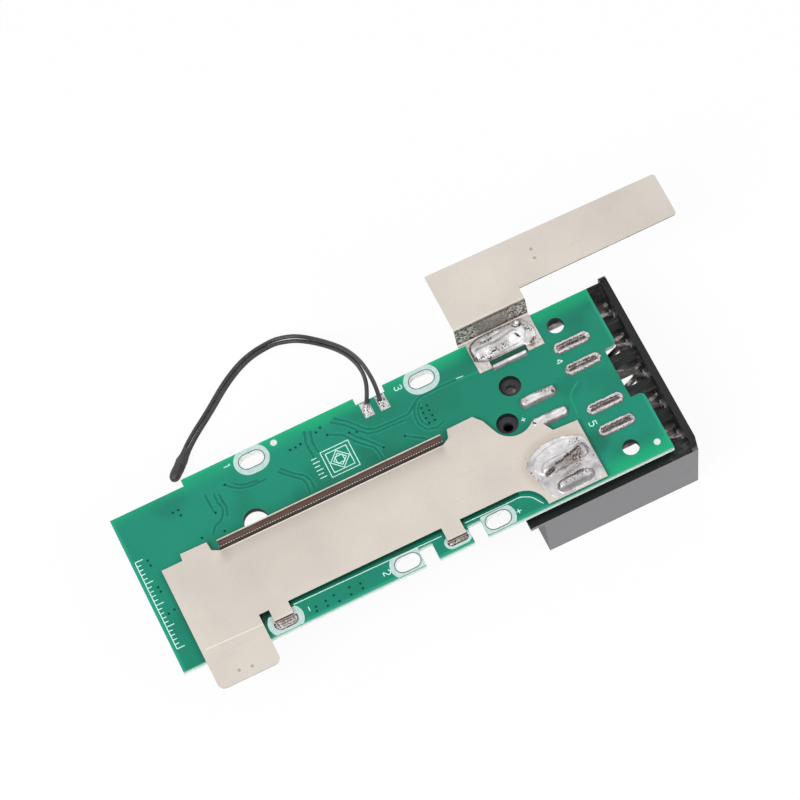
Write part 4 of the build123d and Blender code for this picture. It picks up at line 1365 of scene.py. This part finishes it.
# Printed marks: plain digits and signs at the pads, a ruler along the left end, and a plain ornament
digits = {
    "1": [[(0.2, 1.2), (0.55, 1.5), (0.55, 0.0)]],
    "2": [[(0.0, 1.2), (0.25, 1.5), (0.75, 1.5), (1.0, 1.2), (1.0, 0.9), (0.0, 0.0), (1.0, 0.0)]],
    "3": [
        [(0.0, 1.35), (0.3, 1.5), (0.8, 1.5), (1.0, 1.2), (0.75, 0.8), (0.35, 0.8)],
        [(0.75, 0.8), (1.0, 0.4), (0.8, 0.0), (0.3, 0.0), (0.0, 0.2)],
    ],
    "4": [[(0.8, 0.0), (0.8, 1.5), (0.0, 0.45), (1.05, 0.45)]],
    "5": [
        [
            (1.0, 1.5), (0.15, 1.5), (0.05, 0.85), (0.7, 0.95), (1.0, 0.65), (1.0, 0.3), (0.7, 0.0),
            (0.2, 0.0), (0.0, 0.2),
        ],
    ],
    "plus": [[(0.0, 0.75), (1.0, 0.75)], [(0.5, 0.25), (0.5, 1.25)]],
    "minus": [[(0.0, 0.75), (1.0, 0.75)]],
}
silkLook = {
    "width": 0.19,
    "height": 0.044,
    "signs": [
        ("1", (-68.6, 18.6)), ("3", (-30.4, 18.1)), ("2", (-49.7, -18.2)), ("plus", (-20.5, -18.4)),
        ("minus", (-66.8, -18.0)), ("plus", (-10.9, -0.5)), ("4", (1.3, 7.9)), ("5", (1.1, -7.9)),
    ],
    "lines": {
        "section": (0.15, 0.13),
        "level": boardTop + 0.06,
        "runs": [
            [(-69.2, -15.7), (-52.0, -15.9), (-36.6, -16.1)],
            [(-31.2, -15.7), (-21.6, -15.8), (-19.0, -15.7), (-16.9, -16.8), (-15.4, -19.2)],
            [(-19.1, 14.3), (-17.5, 14.2)],
        ],
    },
    "ruler": {"x": -93.9, "from": 7.7, "to": -13.5, "step": 1.06, "long": 1.7, "short": 0.9},
    "comb": {"x": -52.9, "from": 11.6, "step": 0.92, "count": 6, "long": 1.5, "short": 1.2},
    "ornament": {"middle": (-47.5, 9.2), "sides": (6.2, 4.6, 1.6), "diamonds": (4.2, 2.8), "width": 0.26},
}


def signLines(sign, middle):
    # The signs read towards the front edge, as the board's pads are marked
    x, y = middle
    return [[(x + v - 0.75, y - (u - 0.5)) for u, v in run] for run in digits[sign]]


def silkLines(look):
    lines = [line for sign, middle in look["signs"] for line in signLines(sign, middle)]
    ruler = look["ruler"]
    lines.append([(ruler["x"], ruler["from"]), (ruler["x"], ruler["to"])])
    count = int((ruler["from"] - ruler["to"]) / ruler["step"])
    for k in range(count + 1):
        y = ruler["from"] - k * ruler["step"]
        lines.append([(ruler["x"], y), (ruler["x"] + ruler["short" if k % 5 else "long"], y)])
    comb = look["comb"]
    for k in range(comb["count"]):
        y = comb["from"] - k * comb["step"]
        lines.append([(comb["x"], y), (comb["x"] + comb["long" if k % 2 else "short"], y)])
    return lines


def ornamentLoops(look):
    x, y = look["middle"]
    loops = []
    for side in look["sides"]:
        h = side / 2
        loops.append([(x - h, y - h), (x + h, y - h), (x + h, y + h), (x - h, y + h)])
    for side in look["diamonds"]:
        h = side / 2
        loops.append([(x - h, y), (x, y - h), (x + h, y), (x, y + h)])
    return loops


def growMarks(look):
    height, routes, ornament = look["height"], look["lines"], look["ornament"]
    loops, wide = ornamentLoops(ornament), ornament["width"]
    growRibbons("silk_marks", silkLines(look), look["width"], height, 0.12, "silk", silkLevel)
    growRibbons("silk_lines", routes["runs"], *routes["section"], 2.0, "silk", routes["level"])
    growRibbons("silk_ornament", loops, wide, height, 0.0, "silk", silkLevel, True)


growMarks(silkLook)

# Painted shade: a thin dark line runs round each plated slot where the pad turns down into it
rimLook = {
    "length": 5.56,
    "width": 3.46,
    "slots": [(-63.55, 17.55), (-45.05, -18.15), (-25.35, 17.55), (-24.95, -18.15)],
    "line": (0.17, 0.03),
    "level": 16.588,
}


def growRims(look):
    loops = [bar(middle, look["length"], look["width"], 13) for middle in look["slots"]]
    slot = "tinned_copper"
    growRibbons("slot_rim_shades", loops, *look["line"], 0.0, "rim", level=look["level"], loops=True, slot=slot)


growRims(rimLook)
print("marks made")
